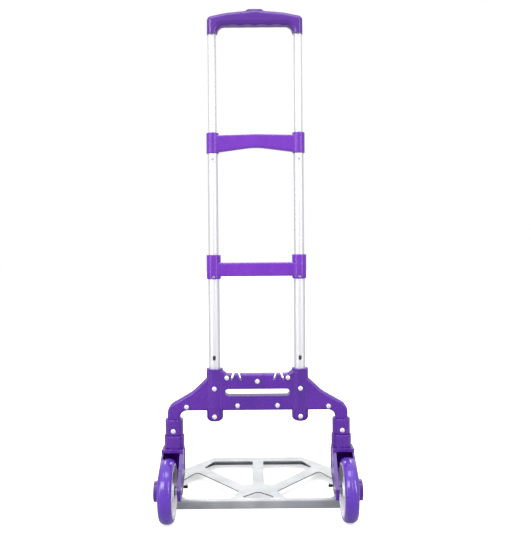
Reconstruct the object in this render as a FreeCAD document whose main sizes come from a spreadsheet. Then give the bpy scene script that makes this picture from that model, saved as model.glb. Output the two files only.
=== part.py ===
import FreeCAD, Part
import os
import re

import Sketcher
from FreeCAD import Placement, Rotation, Vector

# A folding luggage cart: a three-stage telescopic handle on a moulded crossmember, two
# wheels on swivelling forks and a pressed toe plate that folds up against the handle.
# X is the cart's width, Y points from the wheels towards the toe plate, Z is up.
# The origin lies on the floor, in the middle of the footprint.  Most sizes are measured
# from the leg plane, which holds the tube axes and the two swivel axes.

SIZES = {
    # fits
    "running_fit": 0.05,       # radial clearance of a shaft in its bore
    "body_gap": 0.3,           # gap between pieces that move past each other
    "tube_wall": 1.2,
    # telescopic tubes
    "tube_spacing": 163,
    "outer_tube_dia": 22,
    "middle_tube_dia": 19,
    "upper_tube_dia": 16,
    "middle_travel": 191,
    "upper_travel": 184,
    "park_gap": 1,             # left between a bracket and the collar it parks on
    "bush_length": 12,
    "foot_length": 18,
    "foot_flange": 6,
    # lock pins
    "lock_pin_dia": 5,
    "lock_pin_travel": 2,
    "lock_pin_nose": 0.8,
    "lock_pin_tail": 0.5,      # how far a pin reaches in front of the tube's axis
    "lock_hole_dia": 5.6,
    "sight_hole_width": 6,
    "sight_hole_height": 9,
    # crossmember
    "collar_bottom": 174,
    "collar_length": 101,
    "collar_radius": 15.9,
    "collar_end_round": 9,
    "tube_seat": 6,            # floor left under each outer tube
    "web_top": 265,
    "wing_top": 256,
    "wing_bottom": 195.5,
    "leg_spacing": 320,
    "leg_width": 23.5,
    "leg_end": 152,
    "edge_round": 5,
    "hand_slot_half": 61.5,
    "hand_slot_bottom": 223.5,
    "hand_slot_height": 13.2,
    "hook_slit_height": 11,
    "hook_slit_width": 4,
    "hook_inner": 34.4,        # near edge of each slit at the web's top
    "hook_outer": 42.8,
    "hook_lean": 5,            # how far the two slits of a hook lean apart
    "shell_wall": 3,
    "rivet_dia": 4.8,
    "rivet_head_dia": 9.5,
    "rivet_head_height": 2.6,
    # brackets
    "outer_tube_reach": 446,
    "mid_collar_length": 46,
    "mid_collar_radius": 13.5,
    "mid_bar_height": 26,
    "mid_bar_drop": 5,
    "mid_bar_depth": 19,
    "upper_collar_length": 39,
    "upper_collar_radius": 11.8,
    "upper_bar_height": 31,
    "upper_bar_arch": 9,
    "upper_bar_depth": 16,
    # handle
    "grip_half_width": 90.2,
    "grip_depth": 27,
    "grip_rise": 44.3,
    "grip_shoulder": 32,
    "grip_under": 15,
    "grip_round": 9,
    "grip_screw_x": 62,
    "grip_screw_drop": 12,
    "grip_screw_dia": 3,
    "grip_screw_grip": 7,      # how far a screw reaches behind the leg plane
    "grip_screw_sink": 4,
    "finger_pitch": 27,
    "finger_dip": 1.3,
    "finger_radius": 45,
    "button_length": 32,
    "button_width": 12,
    "button_travel": 5,
    "button_proud": 1.6,
    "rod_dia": 4,
    # sleeves, swivels and forks
    "sleeve_bottom": 149,
    "sleeve_length": 30,
    "sleeve_radius": 17,
    "kingpin_dia": 12,
    "kingpin_top": 196,
    "hub_length": 24.7,
    "hub_radius": 18.9,
    "bridge_thickness": 6,
    "fork_outer": 22,
    "fork_inner": 18.5,
    "fork_front": 14,
    "fork_back": 21,
    "fork_plate": 6.5,
    "fork_outer_plate": 3.5,
    "fork_web": 3,             # wall between the plates in front of the wheel
    "fork_web_bottom": 78,
    "fork_splay_angle": 5,
    "fork_splay": 5,           # how far the outer plate has moved out at the axle
    "axle_back": 55,
    "axle_boss_radius": 19,
    "axle_boss_proud": 4,
    "axle_dia": 8,
    # wheels
    "wheel_radius": 58,
    "tyre_width": 26.5,
    "rim_radius": 49,
    "rim_web": 8,
    "hub_dia": 26,
    "wheel_offset": 6.6,
    "bearing_dia": 16,
    "spokes": 5,
    # toe plate and its hinges
    "plate_half_width": 170,
    "plate_near": 8,
    "plate_reach": 279,
    "plate_tip_half": 103,
    "plate_side_reach": 191,
    "plate_height": 18,
    "plate_sheet": 2.5,
    "plate_bend": 5,
    "plate_corner": 14,
    "hinge_forward": 36,
    "hinge_height": 34,
    "hinge_pin_dia": 6,
    "hinge_boss_radius": 6.5,
    "hinge_boss_outer": 165.6,
    "hinge_boss_inner": 150.5,
    "hinge_pin_inner": 139,
    "strap_front": 31,
    "strap_thickness": 3,
    "lug_thickness": 3,
    "lug_rivet_dia": 3,
    "lug_rivet_head": 1.4,
    "lug_ear_half": 9,
    "lug_ear_tip": 7,
    "lug_foot": 2,
    "lug_foot_width": 9,
    "lug_foot_reach": 40,      # from the hinge axis to the foot's far end
    "lug_seat": 0.5,           # step pressed in the plate under each lug
    "lug_seat_margin": 1,
}

# Heights and places worked out from the sizes above, as expressions on their names.
LEG_PLANE = "((axle_back + wheel_radius - plate_reach) / 2)"
OUTER_TUBE_FOOT = "(collar_bottom + tube_seat)"
MID_TOP = "(outer_tube_reach + mid_collar_length)"
OUTER_TUBE_TOP = f"({MID_TOP} - bush_length - 1)"
UPPER_BRACKET = f"({MID_TOP} + park_gap + middle_travel)"
UPPER_TOP = f"({UPPER_BRACKET} + upper_collar_length)"
MIDDLE_TUBE_TOP = f"({UPPER_TOP} - bush_length - 1)"
GRIP_BOTTOM = f"({UPPER_TOP} + park_gap + upper_travel)"
MIDDLE_PIN = "(outer_tube_reach + 4.5)"
UPPER_PIN = f"({UPPER_BRACKET} - 13)"
MIDDLE_TUBE_FOOT = f"({MIDDLE_PIN} - foot_length + foot_flange)"
UPPER_TUBE_FOOT = f"({UPPER_PIN} - foot_length + foot_flange)"
UPPER_TUBE_TOP = f"({GRIP_BOTTOM} + 17)"
GRIP_TOP = f"({GRIP_BOTTOM} + grip_rise)"
SLEEVE_TOP = "(sleeve_bottom + sleeve_length)"
HUB_BOTTOM = "(sleeve_bottom - body_gap - hub_length)"
BRIDGE_BOTTOM = f"({HUB_BOTTOM} - bridge_thickness)"
TUBE_X = "(tube_spacing / 2)"
LEG_X = "(leg_spacing / 2)"
WHEEL_X = f"({LEG_X} + wheel_offset)"
HAND_SLOT_TOP = "(hand_slot_bottom + hand_slot_height)"
LUG_OUTER = "(hinge_boss_outer + body_gap + lug_thickness)"
LUG_SEAT = "(plate_height - lug_seat)"

SIDES = {"left": -1, "right": 1}
TURNS = {
    "x": Rotation(Vector(0, 1, 0), 90),
    "y": Rotation(Vector(1, 0, 0), -90),
    "z": Rotation(),
}

doc = FreeCAD.newDocument("luggage_cart")
nodes = []


# ---------------------------------------------------------------- sheet and expressions

def make_sheet():
    """Put the driving sizes in a sheet, one alias to a row."""
    sheet = doc.addObject("Spreadsheet::Sheet", "sizes")
    for row, (alias, number) in enumerate(SIZES.items(), start=1):
        sheet.set(f"A{row}", alias)
        sheet.set(f"B{row}", str(number))
        sheet.setAlias(f"B{row}", alias)
    doc.recompute()
    return sheet


sizes = make_sheet()


def formula(text):
    """Turn an expression on bare size names into one that FreeCAD reads."""
    return re.sub(r"\b([a-z][a-z_]*)\b(?!\()", r"sizes.\1", str(text))


def value(text):
    """Evaluate an expression on size names."""
    return float(sizes.evalExpression(formula(text)))


def bind(thing, prop, text):
    """Drive a property of an object from the sheet."""
    thing.setExpression(prop, formula(text))


def finish_node(thing, label):
    """Name a finished sub-part and stand it on the leg plane."""
    thing.Label = label
    bind(thing, "Placement.Base.y", LEG_PLANE)
    nodes.append(thing)
    return thing


# ---------------------------------------------------------------- solids from primitives

def put(thing, at, turn="z"):
    """Place a primitive at three expressions, with its axis along x, y or z."""
    thing.Placement = Placement(Vector(), TURNS[turn])
    for letter, text in zip("xyz", at):
        bind(thing, f"Placement.Base.{letter}", text)
    return thing


def cylinder(radius, height, at=(0, 0, 0), turn="z"):
    rod = doc.addObject("Part::Cylinder", "rod")
    bind(rod, "Radius", radius)
    bind(rod, "Height", height)
    return put(rod, at, turn)


def dome(radius, height, at, turn):
    """Half an ellipsoid, bulging along its axis; turn is x, y, z or -y."""
    cap = doc.addObject("Part::Ellipsoid", "dome")
    bind(cap, "Radius1", height)
    bind(cap, "Radius2", radius)
    bind(cap, "Radius3", radius)
    cap.Angle1 = 0
    put(cap, at, "z")
    cap.Placement.Rotation = Rotation(Vector(1, 0, 0), 90) if turn == "-y" else TURNS[turn]
    return cap


def fuse(*parts):
    union = doc.addObject("Part::MultiFuse", "union")
    union.Shapes = list(parts)
    union.Refine = True
    return union


def cut(base, *tools):
    result = doc.addObject("Part::Cut", "cut")
    result.Base = base
    result.Tool = tools[0] if len(tools) == 1 else fuse(*tools)
    return result


def group(parts, label):
    """Identical pieces that share one node, each its own solid."""
    bundle = doc.addObject("Part::Compound", "bundle")
    bundle.Links = parts
    return finish_node(bundle, label)


def ring(outer, inner, height, at, turn="z"):
    """A tube with its bore running past both ends."""
    bore_at = list(at)
    axis = "xyz".index(turn)
    bore_at[axis] = f"{at[axis]} - 1"
    return cut(cylinder(outer, height, at, turn), cylinder(inner, f"{height} + 2", bore_at, turn))


# ---------------------------------------------------------------- bodies from sketches

def new_body(name):
    return doc.addObject("PartDesign::Body", name)


def origin_plane(body, role):
    return next(item for item in body.Origin.OriginFeatures if item.Role == role)


def outline(body, plane, corners, offset="0", tilt=None):
    """A closed sketch through corners, each a pair of expressions, on an origin plane.

    offset moves it off the plane, and tilt leans it about its own horizontal axis.
    """
    sketch = body.newObject("Sketcher::SketchObject", "outline")
    sketch.AttachmentSupport = (origin_plane(body, plane), [""])
    sketch.MapMode = "FlatFace"
    if tilt:
        sketch.AttachmentOffset = Placement(Vector(), Rotation(Vector(1, 0, 0), 1))
        bind(sketch, "AttachmentOffset.Rotation.Angle", tilt)
    bind(sketch, "AttachmentOffset.Base.z", offset)
    points = [Vector(value(u), value(v), 0) for u, v in corners]
    count = len(points)
    for i, point in enumerate(points):
        sketch.addGeometry(Part.LineSegment(point, points[(i + 1) % count]))
    for i, (u, v) in enumerate(corners):
        sketch.addConstraint(Sketcher.Constraint("Coincident", i, 2, (i + 1) % count, 1))
        for kind, text in (("DistanceX", u), ("DistanceY", v)):
            held = sketch.addConstraint(Sketcher.Constraint(kind, -1, 1, i, 1, value(text)))
            sketch.setExpression(f"Constraints[{held}]", formula(text))
    doc.recompute()
    return sketch


def pad(body, sketch, length, reverse=False):
    feature = body.newObject("PartDesign::Pad", "pad")
    feature.Profile = sketch
    feature.Reversed = reverse
    bind(feature, "Length", length)
    doc.recompute()
    return feature


def pocket(body, sketch, depth, reverse=False):
    """Cut a sketch into the body, and make sure that it took something away."""
    before = body.Shape.Volume
    feature = body.newObject("PartDesign::Pocket", "pocket")
    feature.Profile = sketch
    feature.Reversed = reverse
    bind(feature, "Length", depth)
    doc.recompute()
    if body.Shape.Volume > before - 1e-6:
        raise RuntimeError(f"{body.Name}: {feature.Name} cuts nothing")
    return feature


def revolve(body, sketch):
    """Turn a profile about its own horizontal axis."""
    feature = body.newObject("PartDesign::Revolution", "turned")
    feature.Profile = sketch
    feature.ReferenceAxis = (sketch, ["H_Axis"])
    feature.Angle = 360
    doc.recompute()
    return feature


def body_cylinder(body, kind, radius, height, at, turn="z"):
    """An additive or subtractive cylinder inside a body."""
    feature = body.newObject(f"PartDesign::{kind}Cylinder", "round")
    bind(feature, "Radius", radius)
    bind(feature, "Height", height)
    put(feature, at, turn)
    doc.recompute()
    return feature


def round_edges(body, radius, chosen):
    """Fillet the edges of the body that the test picks."""
    base = body.Tip
    names = [f"Edge{i}" for i, edge in enumerate(base.Shape.Edges, start=1) if chosen(edge)]
    feature = body.newObject("PartDesign::Fillet", "rounded")
    feature.Base = (base, names)
    bind(feature, "Radius", radius)
    doc.recompute()
    if "Invalid" in feature.State or not names:
        raise RuntimeError(f"{body.Name}: {len(names)} edges can't take radius {radius}")
    return feature


def runs_along(edge, letter):
    """Whether an edge is straight and parallel to an axis."""
    if not isinstance(edge.Curve, Part.Line):
        return False
    return abs(getattr(edge.Curve.Direction, letter)) > 0.999


def corner_test(letter, corners):
    """A test that picks straight edges along an axis through the given corners."""
    others = [axis for axis in "xyz" if axis != letter]
    wanted = [(value(u), value(v)) for u, v in corners]

    def chosen(edge):
        if not runs_along(edge, letter):
            return False
        middle = edge.CenterOfMass
        here = [getattr(middle, axis) for axis in others]
        return any(abs(here[0] - u) < 0.01 and abs(here[1] - v) < 0.01 for u, v in wanted)

    return chosen


def face_rim_test(letter, place):
    """A test that picks every edge lying in the plane where an axis has one value."""
    spot = value(place)

    def chosen(edge):
        bounds = edge.BoundBox
        low, high = getattr(bounds, letter.upper() + "Min"), getattr(bounds, letter.upper() + "Max")
        return abs(low - spot) < 0.01 and abs(high - spot) < 0.01

    return chosen


def mirrored(half):
    """Corners of the right half, top to bottom, continued up the left half."""
    left = [(f"-({u})", v) for u, v in reversed(half) if u != "0"]
    return half + left


# ---------------------------------------------------------------- rivets

def rivet(x, z, back, front):
    """A round-head rivet along Y between two depths measured from the leg plane."""
    shank = cylinder("rivet_dia / 2", f"{front} - ({back})", (x, back, z), "y")
    back_head = dome("rivet_head_dia / 2", "rivet_head_height", (x, back, z), "-y")
    front_head = dome("rivet_head_dia / 2", "rivet_head_height", (x, front, z), "y")
    return fuse(shank, back_head, front_head)


def blind_rivet(x, z, back, front):
    """A rivet set from the rear, with its stem end spread inside the tube."""
    shank = cylinder("rivet_dia / 2", f"{front} - ({back})", (x, back, z), "y")
    return fuse(shank, dome("rivet_head_dia / 2", "rivet_head_height", (x, back, z), "-y"))


WEB_RIVETS = [("58", "258"), ("-58", "258"), ("0", "251"), ("38", "205"), ("-38", "205")]
WING_RIVETS = [("135", "203"), ("-135", "203")]
COLLAR_RIVET_HEIGHTS = ["collar_bottom + 11", "collar_bottom + 64"]


def make_crossmember_rivets():
    rivets = [rivet(x, z, "-leg_width / 2", "leg_width / 2") for x, z in WEB_RIVETS + WING_RIVETS]
    group(rivets, "crossmember_rivets")


def make_tube_rivets():
    inner_face = "(outer_tube_dia / 2 - tube_wall)"
    rivets = [
        blind_rivet(f"{side} * {TUBE_X}", height, "-collar_radius", f"-{inner_face} + 1.5")
        for side in SIDES.values()
        for height in COLLAR_RIVET_HEIGHTS
    ]
    group(rivets, "tube_rivets")


# ---------------------------------------------------------------- crossmember

def crossmember_corners():
    """The moulding's outline: web, collar, wing, leg and lower bar, right half first."""
    leg_out = f"{LEG_X} + leg_width / 2"
    leg_in = f"{LEG_X} - leg_width / 2"
    return mirrored([
        ("58", "web_top"),
        (f"{TUBE_X} - collar_radius + 2", "web_top + 7"),
        (f"{TUBE_X} + collar_radius - 2", "web_top + 7"),
        (f"{TUBE_X} + collar_radius", "wing_top"),
        ("124", "wing_top - 25"),
        ("150", "wing_top - 40"),
        (leg_out, "wing_top - 52"),
        (leg_out, "leg_end"),
        (leg_in, "leg_end"),
        (leg_in, "wing_bottom"),
    ])


def cut_hook_slits(body, back):
    """Two leaning slits a side leave a hook for a strap in the top of the web."""
    top, bottom = "web_top + 2", "web_top - hook_slit_height"
    for side in SIDES.values():
        for near, lean in (("hook_inner", "-hook_lean"), ("hook_outer", "hook_lean")):
            far = f"{near} + hook_slit_width"
            corners = [(near, top), (far, top), (f"{far} + {lean}", bottom), (f"{near} + {lean}", bottom)]
            sketch = outline(body, "XZ_Plane", [(f"{side} * ({u})", v) for u, v in corners])
            pocket(body, sketch, "leg_width", reverse=back)


def crossmember_half(name, back):
    """One moulded half; the two meet on the leg plane.  back is true for the rear half."""
    sign = -1 if back else 1
    body = new_body(name)
    pad(body, outline(body, "XZ_Plane", crossmember_corners()), "leg_width / 2", reverse=not back)
    leg_out, leg_in = f"{LEG_X} + leg_width / 2", f"{LEG_X} - leg_width / 2"
    both = lambda u, v: [(u, v), (f"-({u})", v)]
    round_edges(body, "22", corner_test("y", both(leg_out, "wing_top - 52")))
    round_edges(body, "14", corner_test("y", both(leg_in, "wing_bottom")))
    round_edges(body, "60", corner_test("y", both("124", "wing_top - 25")))
    round_edges(body, "edge_round", face_rim_test("y", f"{sign} * leg_width / 2"))
    for side in SIDES.values():
        place = (f"{side} * {TUBE_X}", "0", "collar_bottom")
        body_cylinder(body, "Additive", "collar_radius", "collar_length", place)
    round_edges(body, "collar_end_round", face_rim_test("z", "collar_bottom"))
    trim = outline(body, "XZ_Plane", [("-250", "100"), ("250", "100"), ("250", "400"), ("-250", "400")])
    pocket(body, trim, "60", reverse=not back)
    slot = mirrored([("hand_slot_half", HAND_SLOT_TOP), ("hand_slot_half", "hand_slot_bottom")])
    pocket(body, outline(body, "XZ_Plane", slot), "leg_width", reverse=back)
    round_edges(body, "hand_slot_height / 2 - 0.2", corner_test("y", slot))
    cut_hook_slits(body, back)
    for side in SIDES.values():
        tube_at = (f"{side} * {TUBE_X}", "0", OUTER_TUBE_FOOT)
        body_cylinder(body, "Subtractive", "outer_tube_dia / 2 + running_fit", "collar_length", tube_at)
        pin_at = (f"{side} * {LEG_X}", "0", "leg_end - 1")
        body_cylinder(body, "Subtractive", "kingpin_dia / 2 + running_fit", "kingpin_top - leg_end + 1", pin_at)
        cavity = outline(body, "XZ_Plane", [
            (f"{side} * ({TUBE_X} + collar_radius + shell_wall)", "wing_bottom + 6"),
            (f"{side} * 124", "wing_bottom + 6"),
            (f"{side} * 124", "wing_top - 33"),
            (f"{side} * ({TUBE_X} + collar_radius + shell_wall)", "wing_top - 12"),
        ])
        pocket(body, cavity, "leg_width / 2 - shell_wall", reverse=back)
    sleeve_rivets = [(f"{side} * {LEG_X}", "sleeve_bottom + 9") for side in SIDES.values()]
    for x, z in WEB_RIVETS + WING_RIVETS + sleeve_rivets:
        body_cylinder(body, "Subtractive", "rivet_dia / 2 + running_fit", "60", (x, "-30", z), "y")
    for side in SIDES.values():
        for height in COLLAR_RIVET_HEIGHTS if back else []:
            place = (f"{side} * {TUBE_X}", "-30", height)
            body_cylinder(body, "Subtractive", "rivet_dia / 2 + running_fit", "30", place, "y")
    finish_node(body, name)


# ---------------------------------------------------------------- tubes, bushes, lock pins

def lock_hole(x, z):
    """A round hole through the rear wall of a tube."""
    return cylinder("lock_hole_dia / 2", "30", (x, "-30", z), "y")


def make_outer_tube(name, side):
    x = f"{side} * {TUBE_X}"
    length = f"{OUTER_TUBE_TOP} - {OUTER_TUBE_FOOT}"
    shell = ring("outer_tube_dia / 2", "outer_tube_dia / 2 - tube_wall", length, (x, "0", OUTER_TUBE_FOOT))
    sight = f"({UPPER_PIN} - upper_travel - middle_travel)"
    rise = "(sight_hole_height - sight_hole_width) / 2"
    holes = [lock_hole(x, MIDDLE_PIN), lock_hole(x, f"{MIDDLE_PIN} - middle_travel")]
    holes += [cylinder("sight_hole_width / 2", "30", (x, "-30", f"{sight} {way} {rise}"), "y") for way in "+-"]
    holes += [
        cylinder("rivet_dia / 2 + running_fit", "30", (x, "-30", height), "y")
        for height in COLLAR_RIVET_HEIGHTS
    ]
    finish_node(cut(shell, *holes), name)


def make_middle_tube(name, side):
    x = f"{side} * {TUBE_X}"
    length = f"{MIDDLE_TUBE_TOP} - {MIDDLE_TUBE_FOOT}"
    shell = ring("middle_tube_dia / 2", "middle_tube_dia / 2 - tube_wall", length, (x, "0", MIDDLE_TUBE_FOOT))
    heights = [MIDDLE_PIN, UPPER_PIN, f"{UPPER_PIN} - upper_travel"]
    finish_node(cut(shell, *[lock_hole(x, height) for height in heights]), name)


GRIP_PIN_DROPS = ["6", "14"]


def make_upper_tube(name, side):
    x = f"{side} * {TUBE_X}"
    length = f"{UPPER_TUBE_TOP} - {UPPER_TUBE_FOOT}"
    shell = ring("upper_tube_dia / 2", "upper_tube_dia / 2 - tube_wall", length, (x, "0", UPPER_TUBE_FOOT))
    holes = [lock_hole(x, UPPER_PIN)]
    holes += [cylinder("1.5 + running_fit", "30", (x, "-30", f"{GRIP_BOTTOM} - {drop}"), "y") for drop in GRIP_PIN_DROPS]
    finish_node(cut(shell, *holes), name)


def make_guide_bush(name, side, foot, bigger, smaller):
    """A plastic ring that seats on a tube's end and guides the next tube."""
    at = (f"{side} * {TUBE_X}", "0", foot)
    finish_node(ring(f"{bigger} / 2", f"{smaller} / 2 + running_fit", "bush_length", at), name)


def make_foot_bush(name, side, pin_height, tube, outer):
    """A plug in a tube's lower end: flange below, spigot inside, cross bore for the pin."""
    x = f"{side} * {TUBE_X}"
    bottom = f"({pin_height} - foot_length)"
    flange = cylinder(f"{outer} / 2 - tube_wall - running_fit", "foot_flange", (x, "0", bottom))
    spigot = cylinder(f"{tube} / 2 - tube_wall - 0.05", "foot_length + 1", (x, "0", f"{bottom} + foot_flange"))
    bore = cylinder("lock_pin_dia / 2 + running_fit", "30", (x, "-30", pin_height), "y")
    recess_depth = "lock_pin_tail + lock_pin_travel + 1"
    recess = cylinder("lock_pin_dia / 2 + running_fit", recess_depth, (x, "0", pin_height), "y")
    finish_node(cut(fuse(flange, spigot), bore, recess), name)


def make_lock_pin(name, side, pin_height, tube):
    """A sprung pin, its nose held just inside its own tube's surface so that the tube can slide."""
    x = f"{side} * {TUBE_X}"
    tip = f"({tube} / 2 - lock_pin_nose - 2 * running_fit)"
    shank = cylinder("lock_pin_dia / 2", f"{tip} + lock_pin_tail", (x, f"-{tip}", pin_height), "y")
    nose = dome("lock_pin_dia / 2", "lock_pin_nose", (x, f"-{tip}", pin_height), "-y")
    finish_node(fuse(shank, nose), name)


def make_grip_pins():
    """Short spring pins under the grip, two to a tube."""
    pins = [
        cylinder("1.5", "3", (f"{side} * {TUBE_X}", "0.2 - upper_tube_dia / 2", f"{GRIP_BOTTOM} - {drop}"), "y")
        for side in SIDES.values()
        for drop in GRIP_PIN_DROPS
    ]
    group(pins, "grip_pins")


# ---------------------------------------------------------------- brackets

def bracket(name, bar_corners, depth, collar, collar_foot, collar_length, big, small, seat_top, arch=None):
    """Two collars joined by a bar; each collar seats one tube and passes the next."""
    body = new_body(name)
    pad(body, outline(body, "XZ_Plane", bar_corners, f"-({depth}) / 2"), depth)
    if arch:
        round_edges(body, "150", corner_test("y", [arch]))
    round_edges(body, "3.5", lambda edge: not runs_along(edge, "y") and not runs_along(edge, "z"))
    for side in SIDES.values():
        at = (f"{side} * {TUBE_X}", "0", collar_foot)
        body_cylinder(body, "Additive", collar, collar_length, at)
    round_edges(body, "1.2", lambda edge: isinstance(edge.Curve, Part.Circle)
                and abs(edge.Curve.Radius - value(collar)) < 0.01)
    for side in SIDES.values():
        x = f"{side} * {TUBE_X}"
        body_cylinder(body, "Subtractive", f"{big} / 2 + running_fit", f"{seat_top} - {collar_foot} + 1",
                      (x, "0", f"{collar_foot} - 1"))
        body_cylinder(body, "Subtractive", f"{small} / 2 + body_gap", "40", (x, "0", f"{seat_top} - 1"))
    return body


def make_mid_bracket():
    low = "(outer_tube_reach + mid_bar_drop)"
    corners = mirrored([(TUBE_X, f"{low} + mid_bar_height"), (TUBE_X, low)])
    body = bracket("mid_bracket", corners, "mid_bar_depth", "mid_collar_radius", "outer_tube_reach",
                   "mid_collar_length", "outer_tube_dia", "middle_tube_dia", f"{OUTER_TUBE_TOP} + bush_length")
    for side in SIDES.values():
        at = (f"{side} * {TUBE_X}", "-30", MIDDLE_PIN)
        body_cylinder(body, "Subtractive", "lock_hole_dia / 2", "30", at, "y")
    finish_node(body, "mid_bracket")


def make_upper_bracket():
    low, high = f"({UPPER_BRACKET} + 3)", f"({UPPER_BRACKET} + 3 + upper_bar_height)"
    corners = mirrored([
        ("0", f"{high} + 2"),
        (TUBE_X, high),
        (TUBE_X, low),
        (f"{TUBE_X} - 14", low),
        ("0", f"{low} + upper_bar_arch"),
    ])
    body = bracket("upper_bracket", corners, "upper_bar_depth", "upper_collar_radius", UPPER_BRACKET,
                   "upper_collar_length", "middle_tube_dia", "upper_tube_dia", f"{MIDDLE_TUBE_TOP} + bush_length",
                   arch=("0", f"{low} + upper_bar_arch"))
    finish_node(body, "upper_bracket")


# ---------------------------------------------------------------- handle

def grip_corners():
    inner = f"({TUBE_X} - upper_tube_dia / 2 - 3)"
    return mirrored([
        ("0", GRIP_TOP),
        ("55", f"{GRIP_TOP} - 5"),
        ("grip_half_width", f"{GRIP_BOTTOM} + grip_shoulder"),
        ("grip_half_width", GRIP_BOTTOM),
        (inner, GRIP_BOTTOM),
        (inner, f"{GRIP_BOTTOM} + grip_under"),
    ])


def make_grip_shell(name, back):
    """One half of the hollow grip; the halves meet on the leg plane."""
    sign = -1 if back else 1
    body = new_body(name)
    corners = grip_corners()
    pad(body, outline(body, "XZ_Plane", corners), "grip_depth / 2", reverse=not back)
    inner = f"({TUBE_X} - upper_tube_dia / 2 - 3)"
    both = lambda u, v: [(u, v), (f"-({u})", v)]
    round_edges(body, "9", corner_test("y", both("grip_half_width", f"{GRIP_BOTTOM} + grip_shoulder")))
    round_edges(body, "13", corner_test("y", both(inner, f"{GRIP_BOTTOM} + grip_under")))
    round_edges(body, "130", corner_test("y", both("55", f"{GRIP_TOP} - 5")))
    bottom = value(GRIP_BOTTOM)
    rim = face_rim_test("y", f"{sign} * grip_depth / 2")
    round_edges(body, "grip_round", lambda edge: rim(edge) and edge.CenterOfMass.z > bottom + 0.1)
    for i in range(4):
        x = f"({i} - 1.5) * finger_pitch"
        z = f"{GRIP_BOTTOM} + grip_under + finger_dip - finger_radius"
        body_cylinder(body, "Subtractive", "finger_radius", "60", (x, "-30", z), "y")
    well = mirrored([
        ("button_length / 2 + body_gap", f"{GRIP_TOP} + 1"),
        ("button_length / 2 + body_gap", f"{GRIP_TOP} - 12"),
        (f"{TUBE_X} + 3.5", f"{UPPER_TUBE_TOP} + 9"),
        (f"{TUBE_X} + 3.5", f"{UPPER_TUBE_TOP} - 1"),
        (f"{TUBE_X} - 12", f"{UPPER_TUBE_TOP} - 1"),
        ("20", f"{GRIP_TOP} - 23.2"),
    ])
    pocket(body, outline(body, "XZ_Plane", well), "button_width / 2 + body_gap", reverse=back)
    for side in SIDES.values():
        at = (f"{side} * {TUBE_X}", "0", f"{GRIP_BOTTOM} - 1")
        body_cylinder(body, "Subtractive", "upper_tube_dia / 2 + running_fit", f"{UPPER_TUBE_TOP} - {GRIP_BOTTOM} + 1", at)
        x, z = f"{side} * grip_screw_x", f"{GRIP_TOP} - grip_screw_drop"
        body_cylinder(body, "Subtractive", "grip_screw_dia / 2 + running_fit", "30", (x, "-grip_screw_grip", z), "y")
        head_at = (x, "grip_depth / 2 - grip_screw_sink", z)
        if not back:
            body_cylinder(body, "Subtractive", "grip_screw_dia + running_fit", "30", head_at, "y")
    finish_node(body, name)


def make_release():
    """The push button with its crossbar, and the two rods that hang from the bar."""
    top = f"({GRIP_TOP} + button_proud)"
    body = new_body("release_button")
    pad(body, outline(body, "XZ_Plane", mirrored([
        ("button_length / 2 - 4", top),
        ("button_length / 2", f"{top} - 2"),
        ("button_length / 2", f"{GRIP_TOP} - 6"),
    ]), "-button_width / 2"), "button_width")
    round_edges(body, "1", face_rim_test("y", "button_width / 2"))
    finish_node(body, "release_button")
    crossbar_top = f"({GRIP_TOP} - 14)"
    yoke = new_body("release_yoke")
    pad(yoke, outline(yoke, "XZ_Plane", mirrored([
        ("9", f"{GRIP_TOP} - 6"),
        ("9", crossbar_top),
        (f"{TUBE_X} + 3", f"{UPPER_TUBE_TOP} + 7.5"),
        (f"{TUBE_X} + 3", f"{UPPER_TUBE_TOP} + 5.5"),
        ("12", f"{crossbar_top} - 3"),
    ]), "-3"), "6")
    finish_node(yoke, "release_yoke")
    foot = f"({UPPER_PIN} + foot_length - button_travel)"
    for name, side in SIDES.items():
        length = f"{UPPER_TUBE_TOP} + 5.5 - {foot}"
        finish_node(cylinder("rod_dia / 2", length, (f"{side} * {TUBE_X}", "0", foot)), f"release_rod_{name}")


def make_grip_screws():
    """Two screws from the front, sunk in the front shell and biting in the rear one."""
    screws = []
    for side in SIDES.values():
        x, z = f"{side} * grip_screw_x", f"{GRIP_TOP} - grip_screw_drop"
        length = "grip_screw_grip + grip_depth / 2 - grip_screw_sink"
        shank = cylinder("grip_screw_dia / 2", length, (x, "-grip_screw_grip", z), "y")
        head = cylinder("grip_screw_dia", "1.8", (x, "grip_depth / 2 - grip_screw_sink", z), "y")
        screws.append(fuse(shank, head))
    group(screws, "grip_screws")


# ---------------------------------------------------------------- sleeves, swivels, forks

def make_sleeve(name, side):
    """The sleeve riveted round the leg's lower end, above the swivel."""
    x = f"{side} * {LEG_X}"
    body = new_body(name)
    body_cylinder(body, "Additive", "sleeve_radius", "sleeve_length", (x, "0", "sleeve_bottom"))
    round_edges(body, "1.8", lambda edge: isinstance(edge.Curve, Part.Circle))
    leg = outline(body, "XY_Plane", [
        (f"{x} - leg_width / 2", "-leg_width / 2"),
        (f"{x} + leg_width / 2", "-leg_width / 2"),
        (f"{x} + leg_width / 2", "leg_width / 2"),
        (f"{x} - leg_width / 2", "leg_width / 2"),
    ], "leg_end")
    pocket(body, leg, "60", reverse=True)
    body_cylinder(body, "Subtractive", "kingpin_dia / 2 + running_fit", "20", (x, "0", "sleeve_bottom - 1"))
    rivet_at = (x, "-30", "sleeve_bottom + 9")
    body_cylinder(body, "Subtractive", "rivet_dia / 2 + running_fit", "60", rivet_at, "y")
    finish_node(body, name)


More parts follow.
